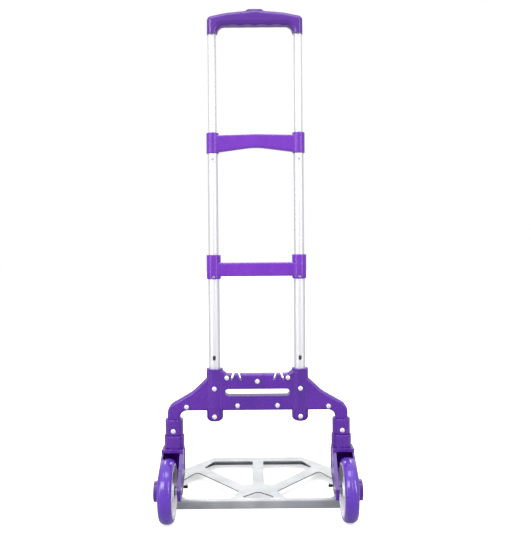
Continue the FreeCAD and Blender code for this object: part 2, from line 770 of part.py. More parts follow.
def make_kingpin(name, side):
    """The swivel pin, fixed in the leg, with a washer head under the fork's bridge."""
    x = f"{side} * {LEG_X}"
    foot = f"({BRIDGE_BOTTOM} - body_gap)"
    shank = cylinder("kingpin_dia / 2", f"kingpin_top - {foot}", (x, "0", foot))
    head = cylinder("kingpin_dia / 2 + 2.5", "2.5", (x, "0", f"{foot} - 2.5"))
    rivet_bore = cylinder("rivet_dia / 2 + running_fit", "60", (x, "-30", "sleeve_bottom + 9"), "y")
    finish_node(cut(fuse(shank, head), rivet_bore), name)


def make_sleeve_rivets():
    rivets = [
        rivet(f"{side} * {LEG_X}", "sleeve_bottom + 9", "-sleeve_radius", "sleeve_radius + strap_thickness")
        for side in SIDES.values()
    ]
    group(rivets, "sleeve_rivets")


def fork_side_corners():
    """One side plate seen along X: bridge, front lobe, axle boss and swept-back edge."""
    return [
        ("fork_front - 2", f"{BRIDGE_BOTTOM} + bridge_thickness"),
        ("fork_front", "wheel_radius + 44"),
        ("fork_front", "wheel_radius + 20"),
        ("fork_front - 6", "wheel_radius + 10"),
        ("-axle_back + 8", "wheel_radius - axle_boss_radius + 1.7"),
        ("-axle_back - 12", "wheel_radius - axle_boss_radius + 4"),
        ("-axle_back - 18", "wheel_radius + 6"),
        ("-fork_back", f"{BRIDGE_BOTTOM} - 2"),
        ("-fork_back", f"{BRIDGE_BOTTOM} + bridge_thickness"),
    ]


def make_fork(name, side):
    """The moulded fork: swivel hub, bridge, plain inner plate and splayed outer plate."""
    x = f"{side} * {LEG_X}"
    out = lambda reach: f"{side} * ({LEG_X} + {reach})"
    inner = lambda reach: f"{side} * ({LEG_X} - {reach})"
    body = new_body(name)
    body_cylinder(body, "Additive", "hub_radius", "hub_length", (x, "0", HUB_BOTTOM))
    round_edges(body, "2", lambda edge: isinstance(edge.Curve, Part.Circle))
    bridge = outline(body, "XY_Plane", [
        (inner("fork_inner"), "-fork_back"),
        (out("fork_outer"), "-fork_back"),
        (out("fork_outer"), "fork_front - 2"),
        (inner("fork_inner"), "fork_front - 2"),
    ], BRIDGE_BOTTOM)
    pad(body, bridge, "bridge_thickness")
    plate = outline(body, "YZ_Plane", fork_side_corners(), inner("fork_inner"))
    pad(body, plate, "fork_plate", reverse=side < 0)
    foot_reach = f"fork_outer + {BRIDGE_BOTTOM} * tan(fork_splay_angle)"
    slant = outline(body, "YZ_Plane", fork_side_corners(), out(foot_reach), f"-({side}) * fork_splay_angle")
    pad(body, slant, "fork_outer_plate", reverse=side > 0)
    web = outline(body, "XY_Plane", [
        (inner("fork_inner - 1"), "fork_front - 2 - fork_web"),
        (out("fork_outer - 1"), "fork_front - 2 - fork_web"),
        (out("fork_outer - 1"), "fork_front - 2"),
        (inner("fork_inner - 1"), "fork_front - 2"),
    ], "fork_web_bottom")
    pad(body, web, f"{BRIDGE_BOTTOM} - fork_web_bottom + 1")
    boss_reach = "fork_outer + fork_splay" + (" + axle_boss_proud" if side < 0 else " - fork_outer_plate")
    boss = (out(boss_reach), "-axle_back", "wheel_radius")
    body_cylinder(body, "Additive", "axle_boss_radius", "fork_outer_plate + axle_boss_proud", boss, "x")
    axle = (f"{x} - 60", "-axle_back", "wheel_radius")
    body_cylinder(body, "Subtractive", "axle_dia / 2 + running_fit", "120", axle, "x")
    body_cylinder(body, "Subtractive", "kingpin_dia / 2 + running_fit", "80", (x, "0", f"{BRIDGE_BOTTOM} - 1"))
    finish_node(body, name)


def make_axle(name, side):
    """The wheel's bolt: head and nut stand against the fork's two plates."""
    outer_face = f"({LEG_X} + fork_outer + fork_splay + axle_boss_proud)"
    inner_face = f"({LEG_X} - fork_inner)"
    ends = (inner_face, outer_face) if side > 0 else (f"-{outer_face}", f"-{inner_face}")
    at = (ends[0], "-axle_back", "wheel_radius")
    shank = cylinder("axle_dia / 2", f"{ends[1]} - {ends[0]}", at, "x")
    heads = []
    for start in (f"{ends[0]} - 3", ends[1]):
        heads.append(cylinder("axle_dia / 2 + 2.5", "3", (start, "-axle_back", "wheel_radius"), "x"))
    head_outer = heads[1] if side > 0 else heads[0]
    bind(head_outer, "Height", "1.5")
    if side < 0:
        bind(head_outer, "Placement.Base.x", f"{ends[0]} - 1.5")
    spacer_start = f"({LEG_X} - fork_inner + fork_plate + running_fit)"
    spacer_end = f"({WHEEL_X} - tyre_width / 2 - body_gap)"
    spacer_at = spacer_start if side > 0 else f"-{spacer_end}"
    spacer = cylinder(
        "axle_dia / 2 + 3", f"{spacer_end} - {spacer_start}", (spacer_at, "-axle_back", "wheel_radius"), "x"
    )
    finish_node(fuse(shank, spacer, *heads), name)


# ---------------------------------------------------------------- wheels


def stand_wheel_part(body, name, side):
    bind(body, "Placement.Base.x", f"{side} * {WHEEL_X}")
    bind(body, "Placement.Base.z", "wheel_radius")
    nodes.append(body)
    body.Label = name
    bind(body, "Placement.Base.y", f"{LEG_PLANE} - axle_back")


def make_tyre(name, side):
    """The round-crowned tyre, moulded over the rim's edge."""
    body = new_body(name)
    revolve(body, outline(body, "XZ_Plane", [
        ("-tyre_width / 2 + 0.6", "rim_radius"),
        ("tyre_width / 2 - 0.6", "rim_radius"),
        ("tyre_width / 2", "wheel_radius"),
        ("-tyre_width / 2", "wheel_radius"),
    ]))
    crown = lambda edge: abs(edge.BoundBox.ZMax - value("wheel_radius")) < 0.01 and edge.BoundBox.XLength < 0.01
    round_edges(body, "wheel_radius - rim_radius - 1.2", crown)
    stand_wheel_part(body, name, side)


def make_rim(name, side):
    """The white rim: a flanged barrel, a thin web with round windows, and a hub."""
    body = new_body(name)
    revolve(body, outline(body, "XZ_Plane", [
        ("-tyre_width / 2 + 0.6", "bearing_dia / 2 + running_fit"),
        ("tyre_width / 2 - 0.6", "bearing_dia / 2 + running_fit"),
        ("tyre_width / 2 - 0.6", "hub_dia / 2"),
        ("rim_web / 2", "hub_dia / 2 + 2"),
        ("rim_web / 2", "rim_radius - 6"),
        ("tyre_width / 2 - 0.6", "rim_radius - 4"),
        ("tyre_width / 2 - 0.6", "rim_radius"),
        ("-tyre_width / 2 + 0.6", "rim_radius"),
        ("-tyre_width / 2 + 0.6", "rim_radius - 4"),
        ("-rim_web / 2", "rim_radius - 6"),
        ("-rim_web / 2", "hub_dia / 2 + 2"),
        ("-tyre_width / 2 + 0.6", "hub_dia / 2"),
    ]))
    window = body.newObject("PartDesign::SubtractiveCylinder", "window")
    bind(window, "Radius", "(rim_radius - 6 - hub_dia / 2 - 2) / 2 - 3")
    bind(window, "Height", "rim_web + 2")
    put(window, ("-rim_web / 2 - 1", "0", "(rim_radius - 6 + hub_dia / 2 + 2) / 2"), "x")
    doc.recompute()
    pattern = body.newObject("PartDesign::PolarPattern", "windows")
    pattern.Originals = [window]
    pattern.Axis = (origin_plane(body, "X_Axis"), [""])
    pattern.Angle = 360
    bind(pattern, "Occurrences", "spokes")
    body.Tip = pattern
    doc.recompute()
    stand_wheel_part(body, name, side)


def make_bearing(name, side):
    """The wheel's bush, pressed in the rim and running on the axle."""
    at = (f"{side} * {WHEEL_X} - tyre_width / 2", "-axle_back", "wheel_radius")
    finish_node(ring("bearing_dia / 2", "axle_dia / 2 + running_fit", "tyre_width", at, "x"), name)


# ---------------------------------------------------------------- toe plate and hinges

def plate_outline_corners():
    return mirrored([
        ("plate_tip_half", "plate_reach"),
        ("plate_half_width", "plate_side_reach"),
        ("plate_half_width", "plate_near"),
    ])


def plate_hollow_corners():
    """The tray's inside, one sheet thickness in from its outline."""
    return mirrored([
        ("plate_tip_half - 0.5 * plate_sheet", "plate_reach - plate_sheet"),
        ("plate_half_width - plate_sheet", "plate_side_reach - 0.34 * plate_sheet"),
        ("plate_half_width - plate_sheet", "plate_near + plate_sheet"),
    ])


def window_outlines():
    """The cut-outs: two far ones, two side ones and the arch at the near edge."""
    shapes = [[("-40", "plate_near + 7"), ("40", "plate_near + 7"), ("0", "plate_near + 45")]]
    for side in SIDES.values():
        far = [("12", "91"), ("33", "91"), ("119", "203"), ("100", "plate_reach - 32"), ("12", "plate_reach - 32")]
        near = [("53", "plate_near + 7"), ("140", "plate_near + 7"), ("155", "30"), ("157", "125"), ("133", "175"), ("38", "54")]
        for corners in (far, near):
            shapes.append([(f"{side} * {u}", v) for u, v in corners])
    return shapes


def make_toe_plate():
    """A pressed sheet tray, open below, with five cut-outs."""
    body = new_body("toe_plate")
    pad(body, outline(body, "XY_Plane", plate_outline_corners()), "plate_height")
    corners = plate_outline_corners()
    round_edges(body, "plate_corner", corner_test("z", corners))
    round_edges(body, "plate_bend", face_rim_test("z", "plate_height"))
    pocket(body, outline(body, "XY_Plane", plate_hollow_corners()), "plate_height - plate_sheet", reverse=True)
    round_edges(body, "plate_corner - plate_sheet", corner_test("z", plate_hollow_corners()))
    for corners in window_outlines():
        pocket(body, outline(body, "XY_Plane", corners, "plate_height"), "plate_height - 1")
        round_edges(body, "7", corner_test("z", corners))
    for side in SIDES.values():
        pocket(body, outline(body, "XY_Plane", lug_seat_corners(side), "plate_height"), "lug_seat")
        for x, y in lug_rivet_places(side):
            body_cylinder(body, "Subtractive", "lug_rivet_dia / 2", "20", (x, y, "plate_height - 10"))
    finish_node(body, "toe_plate")


def lug_seat_corners(side):
    """The stepped-down patch at the plate's side edge that takes one lug's foot."""
    inner = f"{side} * ({LUG_OUTER} - lug_foot_width - lug_seat_margin)"
    outer = f"{side} * (plate_half_width + lug_seat_margin)"
    near = "hinge_forward - lug_ear_half - lug_seat_margin"
    far = "hinge_forward + lug_foot_reach + lug_seat_margin"
    return [(inner, near), (outer, near), (outer, far), (inner, far)]


def lug_rivet_places(side):
    """The two rivets of one lug, behind each other on the plate's side strip."""
    x = f"{side} * ({LUG_OUTER} - lug_foot_width / 2)"
    return [(x, f"hinge_forward + {step}") for step in (18, 32)]


def make_plate_lug(name, side):
    """The upright ear riveted to the plate's side strip; it carries the hinge pin."""
    body = new_body(name)
    ear_top = [
        ("hinge_forward + lug_ear_tip", "hinge_height + lug_ear_tip"),
        ("hinge_forward - lug_ear_tip", "hinge_height + lug_ear_tip"),
    ]
    ear = outline(body, "YZ_Plane", [
        ("hinge_forward - lug_ear_half", LUG_SEAT),
        ("hinge_forward + lug_ear_half", LUG_SEAT),
        *ear_top,
    ], f"{side} * {LUG_OUTER}")
    pad(body, ear, "lug_thickness", reverse=side > 0)
    round_edges(body, "lug_ear_tip - 1", corner_test("x", ear_top))
    outer, inner = f"{side} * {LUG_OUTER}", f"{side} * ({LUG_OUTER} - lug_foot_width)"
    near, far = "hinge_forward + lug_ear_tip", "hinge_forward + lug_foot_reach"
    foot = outline(body, "XY_Plane", [(outer, near), (outer, far), (inner, far), (inner, near)], LUG_SEAT)
    pad(body, foot, "lug_foot")
    bore_at = (f"{side} * {LUG_OUTER} - 10", "hinge_forward", "hinge_height")
    body_cylinder(body, "Subtractive", "hinge_pin_dia / 2", "20", bore_at, "x")
    for x, y in lug_rivet_places(side):
        body_cylinder(body, "Subtractive", "lug_rivet_dia / 2", "20", (x, y, "plate_height - 10"))
    finish_node(body, name)


def make_hinge_pin(name, side):
    """The pin fixed in the ear, running in the bracket's boss, with a clipped inner end."""
    at_y, at_z = "hinge_forward", "hinge_height"
    start = "hinge_pin_inner" if side > 0 else f"-{LUG_OUTER} - 1"
    pin = cylinder("hinge_pin_dia / 2", f"{LUG_OUTER} + 1 - hinge_pin_inner", (start, at_y, at_z), "x")
    clip_at = (f"{side} * (hinge_boss_inner - 3.5) - 0.75", at_y, at_z)
    finish_node(fuse(pin, cylinder("hinge_pin_dia / 2 + 2", "1.5", clip_at, "x")), name)


def make_lug_rivets():
    rivets = [
        fuse(
            cylinder("lug_rivet_dia / 2", "plate_sheet - lug_seat + lug_foot", (x, y, "plate_height - plate_sheet")),
            dome("lug_rivet_dia", "lug_rivet_head", (x, y, f"{LUG_SEAT} + lug_foot"), "z"),
        )
        for side in SIDES.values()
        for x, y in lug_rivet_places(side)
    ]
    group(rivets, "lug_rivets")


def make_hinge_bracket(name, side):
    """A bent strap on the front of the sleeve that reaches down to the hinge boss."""
    body = new_body(name)
    inner = f"{side} * hinge_boss_inner"
    width = "hinge_boss_outer - hinge_boss_inner"
    back, bend = "(strap_front - strap_thickness)", "sleeve_bottom + 7.5"
    top = f"({SLEEVE_TOP} - 4)"
    strap = outline(body, "YZ_Plane", [
        ("sleeve_radius", top),
        ("sleeve_radius", bend + " - 4"),
        (back, "sleeve_bottom - 12"),
        (back, "hinge_height"),
        ("strap_front", "hinge_height"),
        ("strap_front", "sleeve_bottom - 11"),
        ("sleeve_radius + strap_thickness", bend + " - 3"),
        ("sleeve_radius + strap_thickness", top),
    ], inner)
    pad(body, strap, width, reverse=side < 0)
    knuckle_at = ("hinge_boss_inner" if side > 0 else "-hinge_boss_outer", "hinge_forward", "hinge_height")
    body_cylinder(body, "Additive", "hinge_boss_radius", width, knuckle_at, "x")
    bore_at = (f"{side} * hinge_boss_inner - 30", "hinge_forward", "hinge_height")
    body_cylinder(body, "Subtractive", "hinge_pin_dia / 2 + running_fit", "60", bore_at, "x")
    rivet_at = (f"{side} * {LEG_X}", "-30", "sleeve_bottom + 9")
    body_cylinder(body, "Subtractive", "rivet_dia / 2 + running_fit", "90", rivet_at, "y")
    finish_node(body, name)


# ---------------------------------------------------------------- the whole cart

def build():
    crossmember_half("crossmember_rear", True)
    crossmember_half("crossmember_front", False)
    make_crossmember_rivets()
    make_tube_rivets()
    make_mid_bracket()
    make_upper_bracket()
    make_grip_shell("grip_rear", True)
    make_grip_shell("grip_front", False)
    make_grip_pins()
    make_grip_screws()
    make_release()
    make_sleeve_rivets()
    make_toe_plate()
    make_lug_rivets()
    for name, side in SIDES.items():
        make_outer_tube(f"outer_tube_{name}", side)
        make_middle_tube(f"middle_tube_{name}", side)
        make_upper_tube(f"upper_tube_{name}", side)
        make_guide_bush(f"mid_guide_bush_{name}", side, OUTER_TUBE_TOP, "outer_tube_dia", "middle_tube_dia")
        make_guide_bush(f"upper_guide_bush_{name}", side, MIDDLE_TUBE_TOP, "middle_tube_dia", "upper_tube_dia")
        make_foot_bush(f"middle_foot_bush_{name}", side, MIDDLE_PIN, "middle_tube_dia", "outer_tube_dia")
        make_foot_bush(f"upper_foot_bush_{name}", side, UPPER_PIN, "upper_tube_dia", "middle_tube_dia")
        make_lock_pin(f"middle_lock_pin_{name}", side, MIDDLE_PIN, "middle_tube_dia")
        make_lock_pin(f"upper_lock_pin_{name}", side, UPPER_PIN, "upper_tube_dia")
        make_sleeve(f"sleeve_{name}", side)
        make_kingpin(f"kingpin_{name}", side)
        make_hinge_bracket(f"hinge_bracket_{name}", side)
        make_fork(f"fork_{name}", side)
        make_axle(f"axle_{name}", side)
        make_tyre(f"tyre_{name}", side)
        make_rim(f"rim_{name}", side)
        make_bearing(f"wheel_bush_{name}", side)
        make_plate_lug(f"plate_lug_{name}", side)
        make_hinge_pin(f"hinge_pin_{name}", side)


def check_and_write():
    """Refuse a failed feature or a broken solid, then write one STEP file a node."""
    doc.recompute()
    for thing in doc.Objects:
        if "Invalid" in thing.State or "Error" in thing.State:
            raise RuntimeError(f"{thing.Label} failed: {thing.State}")
    for node in nodes:
        if node.Shape.isNull() or not node.Shape.isValid() or not node.Shape.Solids:
            raise RuntimeError(f"{node.Label} has a broken shape")
    os.makedirs("parts", exist_ok=True)
    for node in nodes:
        node.Shape.exportStep(f"parts/{node.Label}.step")


build()
check_and_write()
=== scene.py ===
"""The looks of a folding luggage cart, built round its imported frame, in metres."""

import logging
import math
from dataclasses import dataclass
from enum import Enum
from typing import Any, Iterable, Optional, Sequence

import bmesh
import bpy
from mathutils import Matrix, Vector


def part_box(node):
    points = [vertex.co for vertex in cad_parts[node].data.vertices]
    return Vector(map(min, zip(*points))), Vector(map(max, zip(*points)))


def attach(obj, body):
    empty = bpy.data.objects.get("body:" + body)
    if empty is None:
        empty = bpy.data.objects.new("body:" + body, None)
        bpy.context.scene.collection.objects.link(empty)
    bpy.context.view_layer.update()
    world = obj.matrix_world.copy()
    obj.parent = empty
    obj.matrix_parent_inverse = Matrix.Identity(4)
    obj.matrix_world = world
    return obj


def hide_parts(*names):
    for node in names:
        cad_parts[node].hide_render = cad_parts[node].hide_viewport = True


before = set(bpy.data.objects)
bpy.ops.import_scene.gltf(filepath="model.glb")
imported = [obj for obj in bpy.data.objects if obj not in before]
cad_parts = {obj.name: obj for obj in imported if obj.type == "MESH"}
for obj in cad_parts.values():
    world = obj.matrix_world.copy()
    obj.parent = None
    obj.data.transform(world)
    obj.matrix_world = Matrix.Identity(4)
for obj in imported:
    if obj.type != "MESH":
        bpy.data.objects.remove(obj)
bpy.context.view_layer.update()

LOG = logging.getLogger("cart")
MM = 0.001
SIDES = {"left": -1, "right": 1}
Point = tuple[float, float, float]

SHARP = 0.7  # radians: an edge that turns more than this stays sharp
WELD = 1e-6  # metres: points closer than this are one
POLE_WELD = 2e-6  # metres: the same, where a turned profile meets its axis
NOISE_SPAN = (0.3, 0.7)  # the span that holds nearly all of a noise's values
EDGE_COSINES = (0.995, 0.86)  # rounded against flat normal: off an edge, and on one
DIMPLE_SHARE = 0.16  # of a head's radius: the floor of its dimple
DOME_START = 0.26  # of a head's radius: where the dome starts beside a dimple
DOME_POWER = 2.4  # how square the dome's shoulder is
SIDE_SHARE = 0.12  # of a head's height: its straight side


class Slot(Enum):
    """The record's material slots."""

    UPPER = "upper_plastic"
    FRAME = "frame_plastic"
    TUBE = "satin_aluminium"
    PLATE = "plate_aluminium"
    RIVET = "rivet_aluminium"
    GUIDE = "guide_plastic"
    ZINC = "zinc_steel"
    DARK = "dark_steel"
    TYRE = "tyre_plastic"
    RIM = "rim_plastic"


# ---- nodes and colours


def linear(hex_colour: str) -> tuple[float, float, float, float]:
    """Turn an sRGB hex colour into linear red, green, blue and alpha.

    Args:
        hex_colour: Six hex digits after a hash.

    Returns:
        The linear colour with an alpha of 1.
    """
    parts = [int(hex_colour[i : i + 2], 16) / 255 for i in (1, 3, 5)]
    curved = [c / 12.92 if c <= 0.04045 else ((c + 0.055) / 1.055) ** 2.4 for c in parts]
    return (*curved, 1.0)


def add_node(
    tree: bpy.types.NodeTree,
    kind: str,
    inputs: Optional[dict[Any, Any]] = None,
    **settings: Any,
) -> bpy.types.Node:
    """Add a node with its settings, its values and its links.

    Args:
        tree: The tree that gets the node.
        kind: The node's type name.
        inputs: Values or output sockets by input name or index.
        settings: The node's own properties.

    Returns:
        The new node.
    """
    node = tree.nodes.new(kind)
    for name, value in settings.items():
        setattr(node, name, value)
    for key, value in (inputs or {}).items():
        if isinstance(value, bpy.types.NodeSocket):
            tree.links.new(value, node.inputs[key])
        else:
            node.inputs[key].default_value = value
    return node


# ---- finishes


@dataclass(frozen=True)
class Finish:
    """What every finish shares: a principled shader and patterns on object coordinates."""

    name: str
    colour: str
    roughness: float

    def start(self, **values: Any) -> tuple[bpy.types.Material, bpy.types.NodeTree, bpy.types.Node]:
        """Make the material with its plain values.

        Args:
            values: Principled inputs by name, with underscores for spaces.

        Returns:
            The material, its tree and its principled shader.
        """
        material = bpy.data.materials.new(self.name)
        material.use_nodes = True
        material.diffuse_color = linear(self.colour)
        tree = material.node_tree
        shader = tree.nodes["Principled BSDF"]
        shader.inputs["Base Color"].default_value = linear(self.colour)
        shader.inputs["Roughness"].default_value = self.roughness
        for name, value in values.items():
            shader.inputs[name.replace("_", " ")].default_value = value
        return material, tree, shader

    def noise(
        self,
        tree: bpy.types.NodeTree,
        size_mm: Point,
        detail: float = 3.0,
        turn: Point = (0.0, 0.0, 0.0),
    ) -> bpy.types.NodeSocket:
        """Noise whose patches have a real size along each axis.

        Args:
            tree: The material's tree.
            size_mm: The patch size along x, y and z.
            detail: The noise's octaves.
            turn: The pattern's turn in radians.

        Returns:
            The noise's factor socket.
        """
        where = add_node(tree, "ShaderNodeTexCoord").outputs["Object"]
        scale = tuple(1.0 / (s * MM) for s in size_mm)
        mapped = add_node(tree, "ShaderNodeMapping", {"Vector": where, "Rotation": turn, "Scale": scale})
        made = add_node(
            tree,
            "ShaderNodeTexNoise",
            {"Vector": mapped.outputs["Vector"], "Scale": 1.0, "Detail": detail, "Roughness": 0.55},
        )
        return made.outputs["Fac"]

    def spread(
        self, tree: bpy.types.NodeTree, value: bpy.types.NodeSocket, limits: tuple[float, float, float, float]
    ) -> bpy.types.NodeSocket:
        """Map a factor from one span to another, clamped.

        Args:
            tree: The material's tree.
            value: The factor.
            limits: Lowest and highest in, then lowest and highest out.

        Returns:
            The mapped factor.
        """
        low, high, out_low, out_high = limits
        made = add_node(
            tree,
            "ShaderNodeMapRange",
            {"Value": value, "From Min": low, "From Max": high, "To Min": out_low, "To Max": out_high},
        )
        return made.outputs["Result"]

    def mix(
        self,
        tree: bpy.types.NodeTree,
        factor: bpy.types.NodeSocket,
        first: Any,
        second: Any,
    ) -> bpy.types.NodeSocket:
        """Mix two colours by a factor.

        Args:
            tree: The material's tree.
            factor: The share of the second colour.
            first: A colour or a colour socket.
            second: A colour or a colour socket.

        Returns:
            The mixed colour.
        """
        made = add_node(
            tree,
            "ShaderNodeMix",
            {0: factor, 6: first, 7: second},
            data_type="RGBA",
        )
        return made.outputs[2]

    def edges(
        self, tree: bpy.types.NodeTree, reach_mm: float
    ) -> tuple[bpy.types.NodeSocket, bpy.types.NodeSocket]:
        """Find the piece's edges.

        Args:
            tree: The material's tree.
            reach_mm: How far from an edge the mask reaches.

        Returns:
            The rounded normal, and a mask that is 1 on an edge.
        """
        bevel = add_node(tree, "ShaderNodeBevel", {"Radius": reach_mm * MM}, samples=4)
        round_normal = bevel.outputs["Normal"]
        flat = add_node(tree, "ShaderNodeNewGeometry").outputs["Normal"]
        along = add_node(tree, "ShaderNodeVectorMath", {0: round_normal, 1: flat}, operation="DOT_PRODUCT")
        return round_normal, self.spread(tree, along.outputs["Value"], (*EDGE_COSINES, 0.0, 1.0))

    def bump(
        self,
        tree: bpy.types.NodeTree,
        shader: bpy.types.Node,
        height: bpy.types.NodeSocket,
        depth_mm: float,
        normal: Optional[bpy.types.NodeSocket] = None,
    ) -> None:
        """Give the shader a bump of a real depth.

        Args:
            tree: The material's tree.
            shader: The principled shader.
            height: The height pattern, from 0 to 1.
            depth_mm: The depth of the pattern.
            normal: The normal that it works from.
        """
        inputs = {"Height": height, "Distance": depth_mm * MM, "Strength": 1.0}
        if normal is not None:
            inputs["Normal"] = normal
        made = add_node(tree, "ShaderNodeBump", inputs)
        tree.links.new(made.outputs["Normal"], shader.inputs["Normal"])


@dataclass(frozen=True)
class MouldedPlastic(Finish):
    """Injection-moulded plastic: a polished skin with slight sink and flow marks, and edges lightened partly
    by wear and partly as a painted highlight.
    """

    deep: str = "#000000"
    edge_wear_and_highlight: str = "#ffffff"
    coat: float = 0.15
    edge_mm: float = 1.6
    edge_wear_highlight_share: float = 0.5
    skin_mm: float = 2.4
    skin_depth_mm: float = 0.012
    scatter: float = 0.0
    drift_mm: Point = (38, 38, 55)
    chip_mm: Point = (7, 7, 7)
    scuff_mm: Point = (9, 9, 12)

    def make(self) -> bpy.types.Material:
        """Make the material.

        Returns:
            The material.
        """
        material, tree, shader = self.start(
            IOR=1.53, Coat_Weight=self.coat, Coat_Roughness=0.06, Subsurface_Weight=self.scatter
        )
        shader.inputs["Subsurface Radius"].default_value = (0.004, 0.003, 0.005)
        drift = self.spread(tree, self.noise(tree, self.drift_mm, 2.0), (0.35, 0.68, 0.0, 1.0))
        body = self.mix(tree, drift, linear(self.colour), linear(self.deep))
        normal, edge = self.edges(tree, self.edge_mm)
        broken = self.spread(tree, self.noise(tree, self.chip_mm, 3.0), (0.36, 0.6, 0.25, 1.0))
        # The edge mask, broken up by noise, lightens the edges: partly wear, partly a painted highlight
        wear_and_highlight_mask = add_node(tree, "ShaderNodeMath", {0: edge, 1: broken}, operation="MULTIPLY").outputs[0]
        share = add_node(
            tree, "ShaderNodeMath", {0: wear_and_highlight_mask, 1: self.edge_wear_highlight_share}, operation="MULTIPLY"
        ).outputs[0]
        tree.links.new(self.mix(tree, share, body, linear(self.edge_wear_and_highlight)), shader.inputs["Base Color"])
        scuffs = self.spread(tree, self.noise(tree, self.scuff_mm, 4.0), (0.5, 0.74, 0.0, 0.12))
        rough = add_node(tree, "ShaderNodeMath", {0: scuffs, 1: self.roughness}, operation="ADD").outputs[0]
        tree.links.new(rough, shader.inputs["Roughness"])
        skin = self.noise(tree, (self.skin_mm,) * 3, 1.0)
        self.bump(tree, shader, skin, self.skin_depth_mm, normal)
        return material


@dataclass(frozen=True)
class DrawnAluminium(Finish):
    """Aluminium tube drawn through a die, then satin anodised: fine lines run along it."""

    deep: str = "#a9abae"
    line_mm: float = 0.9
    line_length_mm: float = 90.0
    band_mm: Point = (5.0, 5.0, 240.0)

    def make(self) -> bpy.types.Material:
        """Make the material.

        Returns:
            The material.
        """
        material, tree, shader = self.start(Metallic=1.0)
        lines = self.noise(tree, (self.line_mm, self.line_mm, self.line_length_mm), 3.0)
        bands = self.noise(tree, self.band_mm, 1.0)
        tone = self.spread(tree, bands, (*NOISE_SPAN, 0.0, 0.6))
        body = self.mix(tree, tone, linear(self.colour), linear(self.deep))
        tree.links.new(body, shader.inputs["Base Color"])
        low, high = self.roughness - 0.07, self.roughness + 0.09
        tree.links.new(self.spread(tree, lines, (*NOISE_SPAN, low, high)), shader.inputs["Roughness"])
        self.bump(tree, shader, lines, 0.002)
        return material


@dataclass(frozen=True)
class RolledSheet(Finish):
    """Rolled aluminium sheet, pressed and tumbled: a soft grain across it, scuffs and bright rims."""

    deep: str = "#8d9092"
    bright: str = "#dfe2e3"
    grain_mm: float = 1.1
    grain_length_mm: float = 34.0
    cloud_mm: Point = (46, 46, 46)
    scratch_mm: Point = (60, 0.8, 0.8)
    scratch_turn: Point = (0.0, 0.0, 0.7)

    def make(self) -> bpy.types.Material:
        """Make the material.

        Returns:
            The material.
        """
        material, tree, shader = self.start(Metallic=1.0)
        grain = self.noise(tree, (self.grain_length_mm, self.grain_mm, self.grain_mm), 3.0)
        clouds = self.spread(tree, self.noise(tree, self.cloud_mm, 3.0), (*NOISE_SPAN, 0.0, 0.75))
        body = self.mix(tree, clouds, linear(self.colour), linear(self.deep))
        normal, edge = self.edges(tree, 1.0)
        share = self.spread(tree, edge, (0.0, 1.0, 0.0, 0.6))
        tree.links.new(self.mix(tree, share, body, linear(self.bright)), shader.inputs["Base Color"])
        low, high = self.roughness - 0.08, self.roughness + 0.1
        tree.links.new(self.spread(tree, grain, (*NOISE_SPAN, low, high)), shader.inputs["Roughness"])
        scratches = self.noise(tree, self.scratch_mm, 2.0, self.scratch_turn)
        both = add_node(tree, "ShaderNodeMath", {0: grain, 1: scratches}, operation="ADD").outputs[0]
        self.bump(tree, shader, both, 0.005, normal)
        return material


@dataclass(frozen=True)
class PlatedMetal(Finish):
    """Cold-headed or turned metal, plated, blacked or polished: small ripples and a little tarnish."""

    tarnish: str = "#8a8a88"
    ripple_mm: float = 1.3
    stain_mm: Point = (6, 6, 6)
    patch_mm: Point = (3, 3, 3)

    def make(self) -> bpy.types.Material:
        """Make the material.

        Returns:
            The material.
        """
        material, tree, shader = self.start(Metallic=1.0)
        stain = self.spread(tree, self.noise(tree, self.stain_mm, 4.0), (0.52, 0.78, 0.0, 0.8))
        skin = self.mix(tree, stain, linear(self.colour), linear(self.tarnish))
        tree.links.new(skin, shader.inputs["Base Color"])
        low, high = self.roughness - 0.05, self.roughness + 0.1
        rough = self.spread(tree, self.noise(tree, self.patch_mm, 2.0), (*NOISE_SPAN, low, high))
        tree.links.new(rough, shader.inputs["Roughness"])
        self.bump(tree, shader, self.noise(tree, (self.ripple_mm,) * 3, 2.0), 0.006)
        return material


